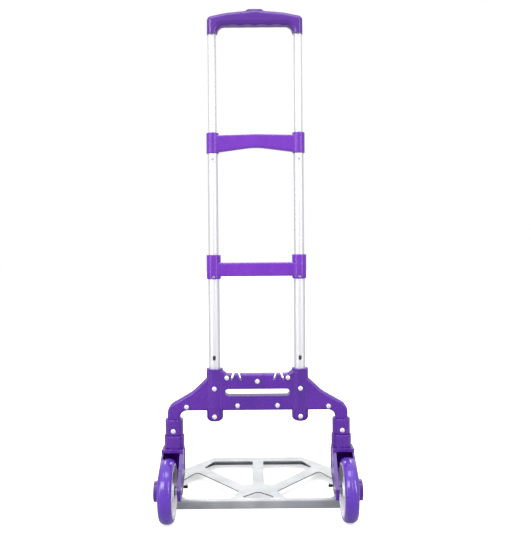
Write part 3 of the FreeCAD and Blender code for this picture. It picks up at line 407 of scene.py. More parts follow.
# ABS polished in the mould: a clear gloss over a violet that lightens to lavender on its edges, partly wear
# and partly a painted highlight
FINISHES: dict[Slot, Finish] = {
    # The brackets' violet is lighter than the frame's: a painted sheen for the front light on them
    Slot.UPPER: MouldedPlastic("abs_violet_painted_sheen_moulded", "#732bb8", 0.26, "#6a24ad", "#b48ae8"),
    Slot.FRAME: MouldedPlastic("abs_deep_violet_gloss_moulded", "#561599", 0.24, "#4b108c", "#a87be4"),
    # Anodised tube keeps the die's lines and spreads its highlight across them
    Slot.TUBE: DrawnAluminium("aluminium_satin_anodised_drawn", "#f1f1f3", 0.5, "#e4e4e7"),
    # Sheet from the rolling mill, tumbled after pressing, so it shines softly
    Slot.PLATE: RolledSheet("aluminium_rolled_sheet_tumbled", "#c6c9ca", 0.44, "#a9acae", "#eceeef"),
    # Cold-headed rivets, barrel polished to a soft shine
    Slot.RIVET: PlatedMetal("aluminium_rivet_barrel_polished", "#fbf9fb", 0.4, "#dddadf"),
    # Acetal, moulded and waxy, with hardly any gloss
    Slot.GUIDE: MouldedPlastic("acetal_grey_moulded", "#55555a", 0.5, "#46464b", "#7b7b80", coat=0.05),
    # Zinc plate, passivated: grey and slightly cloudy
    Slot.ZINC: PlatedMetal("steel_zinc_plated_passivated", "#a9adae", 0.32, "#7c8180"),
    # Steel with black oxide, oiled: nearly black with a dull sheen
    Slot.DARK: PlatedMetal("steel_black_oxide_oiled", "#3c3b3e", 0.38, "#2a292b"),
    # Cast polyurethane, clear-skinned, with light going a little way in
    Slot.TYRE: MouldedPlastic(
        "polyurethane_violet_cast", "#5c26b4", 0.2, "#5120a4", "#8c5cdc",
        coat=0.6, edge_mm=0.8, edge_wear_highlight_share=0.2, skin_mm=3.0, skin_depth_mm=0.03, scatter=0.12,
    ),
    # Nylon, moulded white: a milky skin
    Slot.RIM: MouldedPlastic(
        "nylon_white_moulded", "#f2f1f5", 0.32, "#e4e3ea", "#ffffff",
        coat=0.2, edge_mm=1.0, edge_wear_highlight_share=0.3, skin_mm=2.4, skin_depth_mm=0.02, scatter=0.08,
    ),
}

# The handle is moulded from the same violet, a little deeper than the brackets, whose lighter violet is a
# painted sheen
GRIP_FINISH = MouldedPlastic("abs_violet_handle_moulded", "#561b92", 0.28, "#4b1584", "#a67be0")
GRIP_NODES = ("grip_rear", "grip_front", "release_button")

NODE_SLOTS: dict[Slot, tuple[str, ...]] = {
    Slot.UPPER: ("upper_bracket", "mid_bracket"),
    Slot.FRAME: (
        "crossmember_rear", "crossmember_front",
        *(f"{part}_{side}" for part in ("sleeve", "fork") for side in SIDES),
    ),
    Slot.TUBE: tuple(f"{stage}_tube_{side}" for stage in ("outer", "middle", "upper") for side in SIDES),
    Slot.PLATE: ("toe_plate",),
    Slot.RIVET: (
        "crossmember_rivets", "tube_rivets", "sleeve_rivets", "lug_rivets", "grip_pins",
        *(f"{stage}_lock_pin_{side}" for stage in ("middle", "upper") for side in SIDES),
    ),
    Slot.GUIDE: (
        "release_yoke",
        *(f"{part}_{side}" for part in ("mid_guide_bush", "upper_guide_bush", "middle_foot_bush",
                                        "upper_foot_bush", "wheel_bush") for side in SIDES),
    ),
    Slot.ZINC: tuple(
        f"{part}_{side}"
        for part in ("kingpin", "release_rod", "axle", "hinge_bracket", "plate_lug") for side in SIDES
    ),
    Slot.DARK: ("grip_screws", "hinge_pin_left", "hinge_pin_right"),
    Slot.TYRE: ("tyre_left", "tyre_right"),
    Slot.RIM: ("rim_left", "rim_right"),
}


# ---- geometry trees


class PieceTree:
    """A geometry tree: a mesh and named inputs go in, and real geometry with its finish comes out."""

    def __init__(self, name: str, inputs: dict[str, str]) -> None:
        """Start the tree with its inputs.

        Args:
            name: The tree's name.
            inputs: Each input's kind by its name.
        """
        self.tree = bpy.data.node_groups.new(name, "GeometryNodeTree")
        face = self.tree.interface
        face.new_socket("Geometry", in_out="INPUT", socket_type="NodeSocketGeometry")
        self.sockets = {
            key: face.new_socket(key, in_out="INPUT", socket_type=f"NodeSocket{kind}").identifier
            for key, kind in {**inputs, "Finish": "Material"}.items()
        }
        face.new_socket("Geometry", in_out="OUTPUT", socket_type="NodeSocketGeometry")
        self.given = add_node(self.tree, "NodeGroupInput").outputs

    def close(self, geometry: bpy.types.NodeSocket) -> None:
        """End the tree in real geometry with its finish.

        Args:
            geometry: What the last step made.
        """
        real = add_node(self.tree, "GeometryNodeRealizeInstances", {"Geometry": geometry}).outputs[0]
        dressed = add_node(
            self.tree, "GeometryNodeSetMaterial", {"Geometry": real, "Material": self.given["Finish"]}
        ).outputs[0]
        add_node(self.tree, "NodeGroupOutput", {0: dressed})


class TurnedTree(PieceTree):
    """A tree that turns a profile into a round solid and sets one at each place.

    The input mesh holds the profile's points in order, then loose points marked as places.
    """

    def __init__(self) -> None:
        """Build the tree."""
        super().__init__("turned_parts", {"Segments": "Int"})
        tree, given = self.tree, self.given
        place = add_node(tree, "GeometryNodeInputNamedAttribute", {"Name": "place"}, data_type="BOOLEAN")
        split = add_node(
            tree, "GeometryNodeSeparateGeometry",
            {"Geometry": given["Geometry"], "Selection": place.outputs["Attribute"]},
        )
        profile = split.outputs["Inverted"]
        size = add_node(tree, "GeometryNodeAttributeDomainSize", {"Geometry": profile}).outputs["Point Count"]
        round_count = add_node(
            tree, "ShaderNodeMath", {0: given["Segments"], 1: 1.0}, operation="ADD"
        ).outputs[0]
        grid = add_node(tree, "GeometryNodeMeshGrid", {"Vertices X": size, "Vertices Y": round_count})
        index = add_node(tree, "GeometryNodeInputIndex").outputs[0]
        column_raw = add_node(
            tree, "ShaderNodeMath", {0: index, 1: round_count}, operation="DIVIDE"
        ).outputs[0]
        column = add_node(tree, "ShaderNodeMath", {0: column_raw}, operation="FLOOR").outputs[0]
        row = add_node(tree, "ShaderNodeMath", {0: index, 1: round_count}, operation="MODULO").outputs[0]
        share = add_node(
            tree, "ShaderNodeMath", {0: row, 1: given["Segments"]}, operation="DIVIDE"
        ).outputs[0]
        angle = add_node(tree, "ShaderNodeMath", {0: share, 1: math.tau}, operation="MULTIPLY").outputs[0]
        position = add_node(tree, "GeometryNodeInputPosition").outputs[0]
        sample = add_node(
            tree, "GeometryNodeSampleIndex", {"Geometry": profile, "Value": position, "Index": column},
            data_type="FLOAT_VECTOR",
        )
        point = add_node(tree, "ShaderNodeSeparateXYZ", {0: sample.outputs[0]}).outputs
        cosine = add_node(tree, "ShaderNodeMath", {0: angle}, operation="COSINE").outputs[0]
        sine = add_node(tree, "ShaderNodeMath", {0: angle}, operation="SINE").outputs[0]
        x = add_node(tree, "ShaderNodeMath", {0: point["X"], 1: cosine}, operation="MULTIPLY").outputs[0]
        y = add_node(tree, "ShaderNodeMath", {0: point["X"], 1: sine}, operation="MULTIPLY").outputs[0]
        turned_at = add_node(tree, "ShaderNodeCombineXYZ", {"X": x, "Y": y, "Z": point["Z"]}).outputs[0]
        shaped = add_node(
            tree, "GeometryNodeSetPosition", {"Geometry": grid.outputs["Mesh"], "Position": turned_at}
        ).outputs[0]
        closed = add_node(
            tree, "GeometryNodeMergeByDistance", {"Geometry": shaped, "Distance": POLE_WELD}
        ).outputs[0]
        turn = add_node(tree, "GeometryNodeInputNamedAttribute", {"Name": "turn"}, data_type="FLOAT_VECTOR")
        rotation = add_node(tree, "FunctionNodeEulerToRotation", {0: turn.outputs["Attribute"]}).outputs[0]
        spread = add_node(
            tree, "GeometryNodeInstanceOnPoints",
            {"Points": split.outputs["Selection"], "Instance": closed, "Rotation": rotation},
        ).outputs[0]
        self.close(spread)


class CircleTree(PieceTree):
    """A tree that repeats a pattern piece in a ring round its own z axis and sets the ring at a place."""

    def __init__(self) -> None:
        """Build the tree."""
        super().__init__("ring_of_pieces", {
            "Count": "Int", "Start angle": "Float", "Centre": "Vector", "Turn": "Vector",
        })
        tree, given = self.tree, self.given
        points = add_node(tree, "GeometryNodePoints", {"Count": given["Count"]}).outputs[0]
        index = add_node(tree, "GeometryNodeInputIndex").outputs[0]
        share = add_node(tree, "ShaderNodeMath", {0: index, 1: given["Count"]}, operation="DIVIDE").outputs[0]
        swept = add_node(
            tree, "ShaderNodeMath", {0: share, 1: math.tau, 2: given["Start angle"]}, operation="MULTIPLY_ADD"
        ).outputs[0]
        euler = add_node(tree, "ShaderNodeCombineXYZ", {"Z": swept}).outputs[0]
        rotation = add_node(tree, "FunctionNodeEulerToRotation", {0: euler}).outputs[0]
        spread = add_node(
            tree, "GeometryNodeInstanceOnPoints",
            {"Points": points, "Instance": given["Geometry"], "Rotation": rotation},
        ).outputs[0]
        tilt = add_node(tree, "FunctionNodeEulerToRotation", {0: given["Turn"]}).outputs[0]
        placed = add_node(
            tree, "GeometryNodeTransform",
            {"Geometry": spread, "Translation": given["Centre"], "Rotation": tilt},
        ).outputs[0]
        self.close(placed)


class WireTree(PieceTree):
    """A tree that runs a round wire along the input mesh's edges."""

    def __init__(self) -> None:
        """Build the tree."""
        super().__init__("wire_on_path", {"Radius": "Float", "Bend radius": "Float"})
        tree, given = self.tree, self.given
        path = add_node(tree, "GeometryNodeMeshToCurve", {"Mesh": given["Geometry"]}).outputs[0]
        bent = add_node(
            tree, "GeometryNodeFilletCurve",
            {"Curve": path, "Radius": given["Bend radius"], "Count": 6, "Limit Radius": True}, mode="POLY",
        ).outputs[0]
        section = add_node(
            tree, "GeometryNodeCurvePrimitiveCircle", {"Resolution": 12, "Radius": given["Radius"]}
        )
        solid = add_node(
            tree, "GeometryNodeCurveToMesh",
            {"Curve": bent, "Profile Curve": section.outputs[0], "Fill Caps": True},
        ).outputs[0]
        self.close(solid)


@dataclass
class Place:
    """Where a turned part stands and which way its top points."""

    at: Point
    axis: Point


class Workshop:
    """Makes pieces from the trees, and gives each its body and the finish of its slot."""

    def __init__(self) -> None:
        """Make the materials and the trees."""
        self.materials = {slot: finish.make() for slot, finish in FINISHES.items()}
        self.handle = GRIP_FINISH.make()
        self.turned_tree = TurnedTree()
        self.circle_tree = CircleTree()
        self.wire_tree = WireTree()

    def bake(
        self, name: str, source: bpy.types.Mesh, tree: PieceTree, values: dict[str, Any], sharp: float = SHARP
    ) -> bpy.types.Object:
        """Run a tree on a mesh and keep the result as a plain mesh.

        Args:
            name: The new piece's name.
            source: The mesh that the tree starts from.
            tree: The geometry tree.
            values: The tree's inputs by name.
            sharp: The angle in radians past which an edge stays sharp.

        Returns:
            The piece, at the origin.
        """
        maker = bpy.data.objects.new(f"{name}_maker", source)
        bpy.context.scene.collection.objects.link(maker)
        modifier = maker.modifiers.new("tree", "NODES")
        modifier.node_group = tree.tree
        for key, value in values.items():
            modifier[tree.sockets[key]] = value
        bpy.context.view_layer.update()
        evaluated = maker.evaluated_get(bpy.context.evaluated_depsgraph_get())
        mesh = bpy.data.meshes.new_from_object(evaluated)
        maker.modifiers.remove(modifier)
        bpy.data.objects.remove(maker)
        bpy.data.meshes.remove(source)
        return self.piece(name, mesh, sharp)

    def piece(self, name: str, mesh: bpy.types.Mesh, sharp: float = SHARP) -> bpy.types.Object:
        """Close a mesh, turn its faces outwards and put it in the scene.

        Args:
            name: The piece's name.
            mesh: Its mesh.
            sharp: The angle in radians past which an edge stays sharp.

        Returns:
            The piece, at the origin.
        """
        shape = bmesh.new()
        shape.from_mesh(mesh)
        bmesh.ops.remove_doubles(shape, verts=shape.verts, dist=WELD)
        bmesh.ops.recalc_face_normals(shape, faces=shape.faces)
        shape.to_mesh(mesh)
        shape.free()
        mesh.shade_smooth()
        mesh.set_sharp_from_angle(angle=sharp)
        mesh.name = name
        made = bpy.data.objects.new(name, mesh)
        bpy.context.scene.collection.objects.link(made)
        return made

    def dress(
        self, piece: bpy.types.Object, body: str, slot: Slot, stands_for: Iterable[str] = ()
    ) -> bpy.types.Object:
        """Give a piece its body and its slot's finish, and hide the nodes that it stands for.

        Args:
            piece: The finished piece.
            body: The body that it moves with.
            slot: Its material slot.
            stands_for: The nodes that it replaces.

        Returns:
            The same piece.
        """
        if not piece.data.materials:
            piece.data.materials.append(self.materials[slot])
        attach(piece, body)
        if stands_for:
            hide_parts(*stands_for)
        LOG.info("%s rides on %s, %d faces", piece.name, body, len(piece.data.polygons))
        return piece

    def turned(
        self, name: str, profile: Sequence[tuple[float, float]], places: Sequence[Place], slot: Slot,
        segments: int = 32, sharp: float = SHARP,
    ) -> bpy.types.Object:
        """Turn a profile and set one at each place.

        Args:
            name: The piece's name.
            profile: Radius and height of each point, in millimetres.
            places: Where each turned part stands.
            slot: The finish.
            segments: Faces round the axis.
            sharp: The angle in radians past which an edge stays sharp.

        Returns:
            The piece.
        """
        points = [(radius * MM, 0.0, height * MM) for radius, height in profile]
        mesh = bpy.data.meshes.new(f"{name}_profile")
        mesh.from_pydata(points + [tuple(p.at) for p in places], [], [])
        turns = [Vector(p.axis).to_track_quat("Z", "Y").to_euler() for p in places]
        is_place = mesh.attributes.new("place", "BOOLEAN", "POINT")
        is_place.data.foreach_set("value", [False] * len(points) + [True] * len(places))
        turn = mesh.attributes.new("turn", "FLOAT_VECTOR", "POINT")
        turn.data.foreach_set("vector", [0.0] * (3 * len(points)) + [c for t in turns for c in t])
        values = {"Segments": segments, "Finish": self.materials[slot]}
        return self.bake(name, mesh, self.turned_tree, values, sharp)

    def ring(
        self, name: str, pattern: bpy.types.Mesh, count: int, start: float, centre: Vector, turn: Point,
        slot: Slot,
    ) -> bpy.types.Object:
        """Repeat a pattern piece round an axis.

        Args:
            name: The piece's name.
            pattern: The mesh that is repeated, round its own z axis.
            count: How many there are.
            start: The first one's angle in radians.
            centre: Where the ring's centre goes.
            turn: The ring's turn in radians.
            slot: The finish.

        Returns:
            The piece.
        """
        values = {
            "Count": count, "Start angle": start, "Centre": tuple(centre), "Turn": turn,
            "Finish": self.materials[slot],
        }
        return self.bake(name, pattern, self.circle_tree, values)

    def wire(
        self, name: str, path: Sequence[Point], radius_mm: float, bend_mm: float, slot: Slot
    ) -> bpy.types.Object:
        """Bend a wire along a path.

        Args:
            name: The piece's name.
            path: The path's corners in metres.
            radius_mm: The wire's radius.
            bend_mm: The radius of its bends.
            slot: The finish.

        Returns:
            The piece.
        """
        mesh = bpy.data.meshes.new(f"{name}_path")
        mesh.from_pydata([tuple(p) for p in path], [(i, i + 1) for i in range(len(path) - 1)], [])
        values = {"Radius": radius_mm * MM, "Bend radius": bend_mm * MM, "Finish": self.materials[slot]}
        return self.bake(name, mesh, self.wire_tree, values)


def middle(node: str) -> Vector:
    """The centre of a node's box.

    Args:
        node: The node's name.

    Returns:
        The centre in metres.
    """
    low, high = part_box(node)
    return (low + high) / 2


def dome_profile(
    radius: float, height: float, dimple: float = 0.0, steps: int = 8
) -> list[tuple[float, float]]:
    """A round head's profile from its top to its flat underside.

    Args:
        radius: The head's radius in millimetres.
        height: Its height.
        dimple: The depth of the small hollow in its top.
        steps: Points on the dome.

    Returns:
        Radius and height of each point.
    """
    floor = height - dimple
    hollow = [(0.0, floor), (radius * DIMPLE_SHARE, floor)] if dimple else [(0.0, height)]
    first = DOME_START if dimple else 0.0
    arc = [first + (1.0 - first) * step / steps for step in range(0 if dimple else 1, steps + 1)]
    dome = [(radius * a, height * math.sqrt(max(0.0, 1.0 - a**DOME_POWER))) for a in arc]
    return hollow + dome[:-1] + [(radius, height * SIDE_SHARE), (radius, 0.0), (0.0, 0.0)]


# ---- sub-assemblies


@dataclass
class CrossmemberRivets:
    """The bright rivets through the crossmember, its collars and the sleeves."""

    shop: Workshop
    head_radius: float = 4.75
    head_height: float = 2.55
    dimple: float = 0.25
    cup_outer: float = 6.6
    cup_height: float = 0.8
    cup_gap: float = 0.1
    cup_sunk: float = 0.3
    head_rise: float = 2.6
    segments: int = 28
    web: tuple[tuple[float, float], ...] = (
        (-58, 258), (58, 258), (0, 251), (-38, 205), (38, 205), (-135, 203), (135, 203)
    )
    collar_heights: tuple[float, ...] = (185, 238)
    sleeve_height: float = 158

    def build(self) -> None:
        """Make the heads, and the moulded cups that they sit in."""
        low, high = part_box("crossmember_rivets")
        rise = self.head_rise * MM
        rear, front = low.y + rise, high.y - rise
        head = dome_profile(self.head_radius, self.head_height, self.dimple)
        web = [Place((x * MM, rear, z * MM), (0, -1, 0)) for x, z in self.web]
        web += [Place((x * MM, front, z * MM), (0, 1, 0)) for x, z in self.web]
        tube_x = middle("outer_tube_right").x
        collar_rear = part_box("tube_rivets")[0].y + rise
        collars = [
            Place((side * tube_x, collar_rear, z * MM), (0, -1, 0))
            for side in SIDES.values() for z in self.collar_heights
        ]
        leg_x = middle("sleeve_right").x
        low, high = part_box("sleeve_rivets")
        sleeves = [
            Place((side * leg_x, y, self.sleeve_height * MM), (0, way, 0))
            for side in SIDES.values() for y, way in ((low.y + rise, -1), (high.y - rise, 1))
        ]
        for name, places, node in (
            ("crossmember_rivet_heads", web, "crossmember_rivets"),
            ("collar_rivet_heads", collars, "tube_rivets"),
            ("sleeve_rivet_heads", sleeves, "sleeve_rivets"),
        ):
            piece = self.shop.turned(name, head, places, Slot.RIVET, self.segments)
            self.shop.dress(piece, "frame", Slot.RIVET, [node])
        r, outer, top = self.head_radius, self.cup_outer, self.cup_height
        foot = (r + self.cup_gap, -self.cup_sunk)
        cup = [
            foot, (r + 0.3, top * 0.7), (r + 0.8, top), (outer - 0.6, top * 0.6), (outer, 0.0),
            (outer, -self.cup_sunk), foot,
        ]
        piece = self.shop.turned("rivet_cups", cup, web, Slot.FRAME, segments=32, sharp=1.2)
        self.shop.dress(piece, "frame", Slot.FRAME)


@dataclass
class Wheel:
    """One wheel: the round-crowned tyre and the rim's ribs."""

    shop: Workshop
    side: str
    ribs: int = 5
    crown_steps: int = 18
    crown_power: float = 0.86
    seam_height: float = 0.25
    seam_half: float = 0.5
    foot_wall: float = 1.0
    foot_inset: float = 0.6
    rim_gap: float = 0.05
    rib_offset: float = 3.9
    rib_start: float = 14.2
    rib_end_gap: float = 5.6
    rib_sections: tuple[tuple[float, float], ...] = ((1.7, 5.6), (1.2, 3.4), (1.7, 5.2))
    rib_draft: float = 0.6
    rib_edge: float = 0.35

    def build(self) -> None:
        """Make the wheel's pieces."""
        low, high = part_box(f"tyre_{self.side}")
        centre = (low + high) / 2
        radius = (high.z - low.z) / 2 / MM
        half = (high.x - low.x) / 2 / MM
        rim_low, rim_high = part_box(f"rim_{self.side}")
        bore = (rim_high.z - rim_low.z) / 2 / MM + self.rim_gap
        place = [Place(tuple(centre), (1, 0, 0))]
        tyre = self.shop.turned(
            f"tyre_tread_{self.side}", self.tyre_profile(radius, half, bore), place, Slot.TYRE,
            segments=128, sharp=0.9,
        )
        self.shop.dress(tyre, f"wheel_{self.side}", Slot.TYRE, [f"tyre_{self.side}"])
        for face, turn in (("inner", -1), ("outer", 1)):
            ring = self.shop.ring(
                f"rim_ribs_{face}_{self.side}", self.rib(bore), self.ribs, math.pi / self.ribs,
                centre + Vector((turn * self.rib_offset * MM, 0, 0)), (0, turn * math.pi / 2, 0), Slot.RIM,
            )
            self.shop.dress(ring, f"wheel_{self.side}", Slot.RIM)

    def tyre_profile(self, radius: float, half: float, bore: float) -> list[tuple[float, float]]:
        """The tyre's section, once round.

        Args:
            radius: The tread's radius in millimetres.
            half: Half the tyre's width.
            bore: The radius of its seat on the rim.

        Returns:
            Radius and height of each point, closed.
        """
        rise = radius - bore - self.foot_wall
        points = []
        for step in range(self.crown_steps + 1):
            angle = math.pi * step / self.crown_steps
            across = -math.cos(angle)
            up = abs(math.sin(angle)) ** self.crown_power
            points.append((bore + self.foot_wall + rise * up, half * across))
        middle_step = self.crown_steps // 2
        seam = points[middle_step]
        beside = seam[0] - self.seam_height
        crown = [(beside, -self.seam_half), seam, (beside, self.seam_half)]
        shaped = points[:middle_step] + crown + points[middle_step + 1 :]
        foot = [(bore, half - self.foot_inset), (bore, -half + self.foot_inset)]
        return shaped + foot + [shaped[0]]

    def rib(self, bore: float) -> bpy.types.Mesh:
        """One moulded rib of the rim, from the hub out to the barrel, along +x.

        Args:
            bore: The rim's outer radius in millimetres.

        Returns:
            The rib's mesh.
        """
        inner, outer = self.rib_start * MM, (bore - self.rib_end_gap) * MM
        shape = bmesh.new()
        sections = []
        for x, (half, top) in zip((inner, (inner + outer) / 2, outer), self.rib_sections):
            ring = [
                shape.verts.new((x, -half * MM, 0)),
                shape.verts.new((x, half * MM, 0)),
                shape.verts.new((x, half * self.rib_draft * MM, top * MM)),
                shape.verts.new((x, -half * self.rib_draft * MM, top * MM)),
            ]
            sections.append(ring)
        for first, second in zip(sections, sections[1:]):
            for i in range(4):
                shape.faces.new((first[i], first[(i + 1) % 4], second[(i + 1) % 4], second[i]))
        shape.faces.new(sections[0][::-1])
        shape.faces.new(sections[-1])
        bmesh.ops.bevel(shape, geom=shape.edges[:], offset=self.rib_edge * MM, segments=2, affect="EDGES")
        mesh = bpy.data.meshes.new("rim_rib")
        shape.to_mesh(mesh)
        shape.free()
        return mesh


@dataclass
class Hinge:
    """The toe plate's hinge pin on one side, held by a spring clip."""

    shop: Workshop
    side: str
    radius: float = 3.0
    groove_radius: float = 2.1
    head_radius: float = 4.2
    clip_inset: float = 2.4
    clip_wire: float = 0.6
    clip_bend: float = 3.0
    clip_path: tuple[Point, ...] = (
        (0.2, 4.6, 4.2), (0.0, 3.1, 0.6), (0.0, 0.0, -3.7), (0.0, -3.1, 0.6), (0.2, -4.6, 4.2)
    )

    def build(self) -> None:
        """Make the grooved pin, and the clip under its inner end, whose legs spread upwards."""
        way = SIDES[self.side]
        low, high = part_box(f"hinge_pin_{self.side}")
        centre = (low + high) / 2
        length = (high.x - low.x) / MM
        shank, groove, head = self.radius, self.groove_radius, self.head_radius
        pin = [
            (0.0, 0.0), (2.2, 0.0), (shank, 0.8), (shank, 7.0), (groove, 7.2), (groove, 8.6), (shank, 8.8),
            (shank, length - 1.3), (head, length - 1.2), (head, length - 0.4), (3.6, length), (0.0, length),
        ]
        inner = min(abs(low.x), abs(high.x))
        start = Place((way * inner, centre.y, centre.z), (way, 0, 0))
        made = self.shop.turned(
            f"hinge_pin_turned_{self.side}", pin, [start], Slot.DARK, segments=28, sharp=0.5
        )
        self.shop.dress(made, "toe_plate", Slot.DARK, [f"hinge_pin_{self.side}"])
        at = Vector((way * (inner + self.clip_inset * MM), centre.y, centre.z))
        legs = [at + Vector((way * x * MM, y * MM, z * MM)) for x, y, z in self.clip_path]
        clip = self.shop.wire(
            f"hinge_clip_{self.side}", legs, self.clip_wire, self.clip_bend, Slot.DARK
        )
        self.shop.dress(clip, "toe_plate", Slot.DARK)


@dataclass
class GripScrews:
    """The two cross-recessed screws in the handle's front shell."""

    shop: Workshop
    head_radius: float = 2.9
    head_height: float = 1.7
    slot_half: float = 0.45
    slot_reach: float = 1.7
    slot_depth: float = 1.0
    slot_taper: float = 0.7
    flat_share: float = 0.8
    crown: float = 0.35
    shank_radius: float = 1.5
    cad_head_radius: float = 3.0

    def build(self) -> None:
        """Make both screws, their heads facing forwards."""
        low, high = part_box("grip_screws")
        x, z = high.x - self.cad_head_radius * MM, (low.z + high.z) / 2
        mesh = bpy.data.meshes.new("grip_screws")
        shape = bmesh.new()
        for side in SIDES.values():
            self.head(shape, Vector((side * x, high.y, z)), (high.y - low.y) / MM)
        shape.to_mesh(mesh)
        shape.free()
        made = self.shop.piece("grip_screw_heads", mesh, 0.6)
        self.shop.dress(made, "upper_stage", Slot.DARK, ["grip_screws"])

    def head(self, shape: bmesh.types.BMesh, top: Vector, length: float) -> None:
        """Add one screw: a crowned head with a cross in it, and its shank.

        Args:
            shape: The mesh that it is added to.
            top: The middle of the head's face.
            length: From the head's face to the point, in millimetres.
        """
        a, b = self.slot_half, self.slot_reach
        cross = [
            (a, a), (a, b), (-a, b), (-a, a), (-b, a), (-b, -a),
            (-a, -a), (-a, -b), (a, -b), (a, -a), (b, -a), (b, a),
        ]
        angles = [math.atan2(v, u) for u, v in cross]
        depths = (0.0, 0.0, self.crown, self.head_height, self.head_height, length)
        head, shank = self.head_radius, self.shank_radius
        radii = (None, head * self.flat_share, head, head, shank, shank)
        rings = []
        for depth, radius in zip(depths, radii):
            corners = cross if radius is None else [
                (radius * math.cos(t), radius * math.sin(t)) for t in angles
            ]
            rings.append([shape.verts.new(top + Vector((u, -depth, v)) * MM) for u, v in corners])
        count = len(cross)
        taper, depth = self.slot_taper, self.slot_depth
        floor = [shape.verts.new(top + Vector((u * taper, -depth, v * taper)) * MM) for u, v in cross]
        for first, second in [(floor, rings[0]), *zip(rings, rings[1:])]:
            for i in range(count):
                shape.faces.new((first[i], first[(i + 1) % count], second[(i + 1) % count], second[i]))
        shape.faces.new(floor)
        shape.faces.new(rings[-1])


@dataclass
class Axle:
    """One wheel's axle bolt: nut, shank, spacer ring and domed outer head."""

    shop: Workshop
    side: str
    nut: float = 3.0
    head: float = 1.5
    shank_radius: float = 4.0
    spacer_radius: float = 7.0
    plate: float = 6.55
    end_gap: float = 0.3

    def build(self) -> None:
        """Turn the bolt from its inner end outwards."""
        way = SIDES[self.side]
        low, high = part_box(f"axle_{self.side}")
        bush_low, bush_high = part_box(f"wheel_bush_{self.side}")
        inner = min(abs(low.x), abs(high.x))
        length = (high.x - low.x) / MM
        spacer_end = (min(abs(bush_low.x), abs(bush_high.x)) - inner) / MM - self.end_gap
        spacer_start = self.nut + self.plate
        rim, shank, collar = (high.z - low.z) / 2 / MM, self.shank_radius, self.spacer_radius
        end = [(0.0, 0.35), (1.2, 0.3), (1.5, 0.0), (rim * 0.6, 0.0), (rim * 0.92, 0.5), (rim, 1.1)]
        profile = [
            *end, (rim, self.nut), (shank, self.nut), (shank, spacer_start), (collar, spacer_start),
            (collar, spacer_end), (shank, spacer_end), (shank, length - self.head),
            (rim, length - self.head), *((radius, length - depth) for radius, depth in reversed(end)),
        ]
        start = Place((way * inner, (low.y + high.y) / 2, (low.z + high.z) / 2), (way, 0, 0))
        made = self.shop.turned(
            f"axle_turned_{self.side}", profile, [start], Slot.ZINC, segments=40, sharp=0.5
        )
        self.shop.dress(made, f"fork_{self.side}", Slot.ZINC, [f"axle_{self.side}"])


@dataclass
class ButtonRidges:
    """The thumb ridges across the release button."""

    shop: Workshop
    count: int = 7
    pitch: float = 3.6
    radius: float = 0.55
    end_gap: float = 1.6

    def build(self) -> None:
        """Make the ridges, half sunk in the button's top."""
        low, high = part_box("release_button")
        centre = (low + high) / 2
        reach = (high.y - low.y) / 2 - self.end_gap * MM
        top = high.z - self.radius * MM
        shape = bmesh.new()
        for step in range(self.count):
            x = centre.x + (step - (self.count - 1) / 2) * self.pitch * MM
            matrix = Matrix.Translation((x, centre.y, top)) @ Matrix.Rotation(math.pi / 2, 4, "X")
            bmesh.ops.create_cone(
                shape, cap_ends=True, segments=16, radius1=self.radius * MM, radius2=self.radius * MM,
                depth=2 * reach, matrix=matrix,
            )
        mesh = bpy.data.meshes.new("button_ridges")
        shape.to_mesh(mesh)
        shape.free()
        made = self.shop.piece("button_ridges", mesh)
        made.data.materials.append(self.shop.handle)
        self.shop.dress(made, "release", Slot.UPPER)


@dataclass
class CarriedNodes:
    """The frame's own nodes that show as they are, each with its finish."""

    shop: Workshop

    def build(self) -> None:
        """Give every node its material."""
        groups = [(self.shop.materials[slot], names) for slot, names in NODE_SLOTS.items()]
        groups.append((self.shop.handle, GRIP_NODES))
        for material, names in groups:
            for name in names:
                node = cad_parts[name]
                node.data.materials.clear()
                node.data.materials.append(material)
            LOG.info("%s on %d nodes", material.name, len(names))


# ---- studio


@dataclass(frozen=True)
class Lamp:
    """One soft rectangular light: where it hangs, what it faces, its size and its power."""

    name: str
    at: Point
    to: Point
    width: float
    height: float
    watts: float


LAMPS = (
    Lamp("key", (-1.5, -2.4, 2.0), (0.0, 0.0, 0.45), width=1.3, height=1.3, watts=34.0),
    Lamp("fill", (1.9, -1.9, 1.2), (0.0, 0.0, 0.4), width=0.5, height=1.8, watts=16.0),
    Lamp("strip", (-1.7, -1.3, 0.7), (0.0, 0.0, 0.4), width=0.25, height=1.8, watts=8.0),
    Lamp("back", (0.0, 2.6, 2.4), (0.0, 0.0, 0.3), width=2.2, height=1.2, watts=30.0),
    Lamp("top", (0.0, -0.7, 2.5), (0.0, 0.0, 0.6), width=1.6, height=0.8, watts=14.0),
)


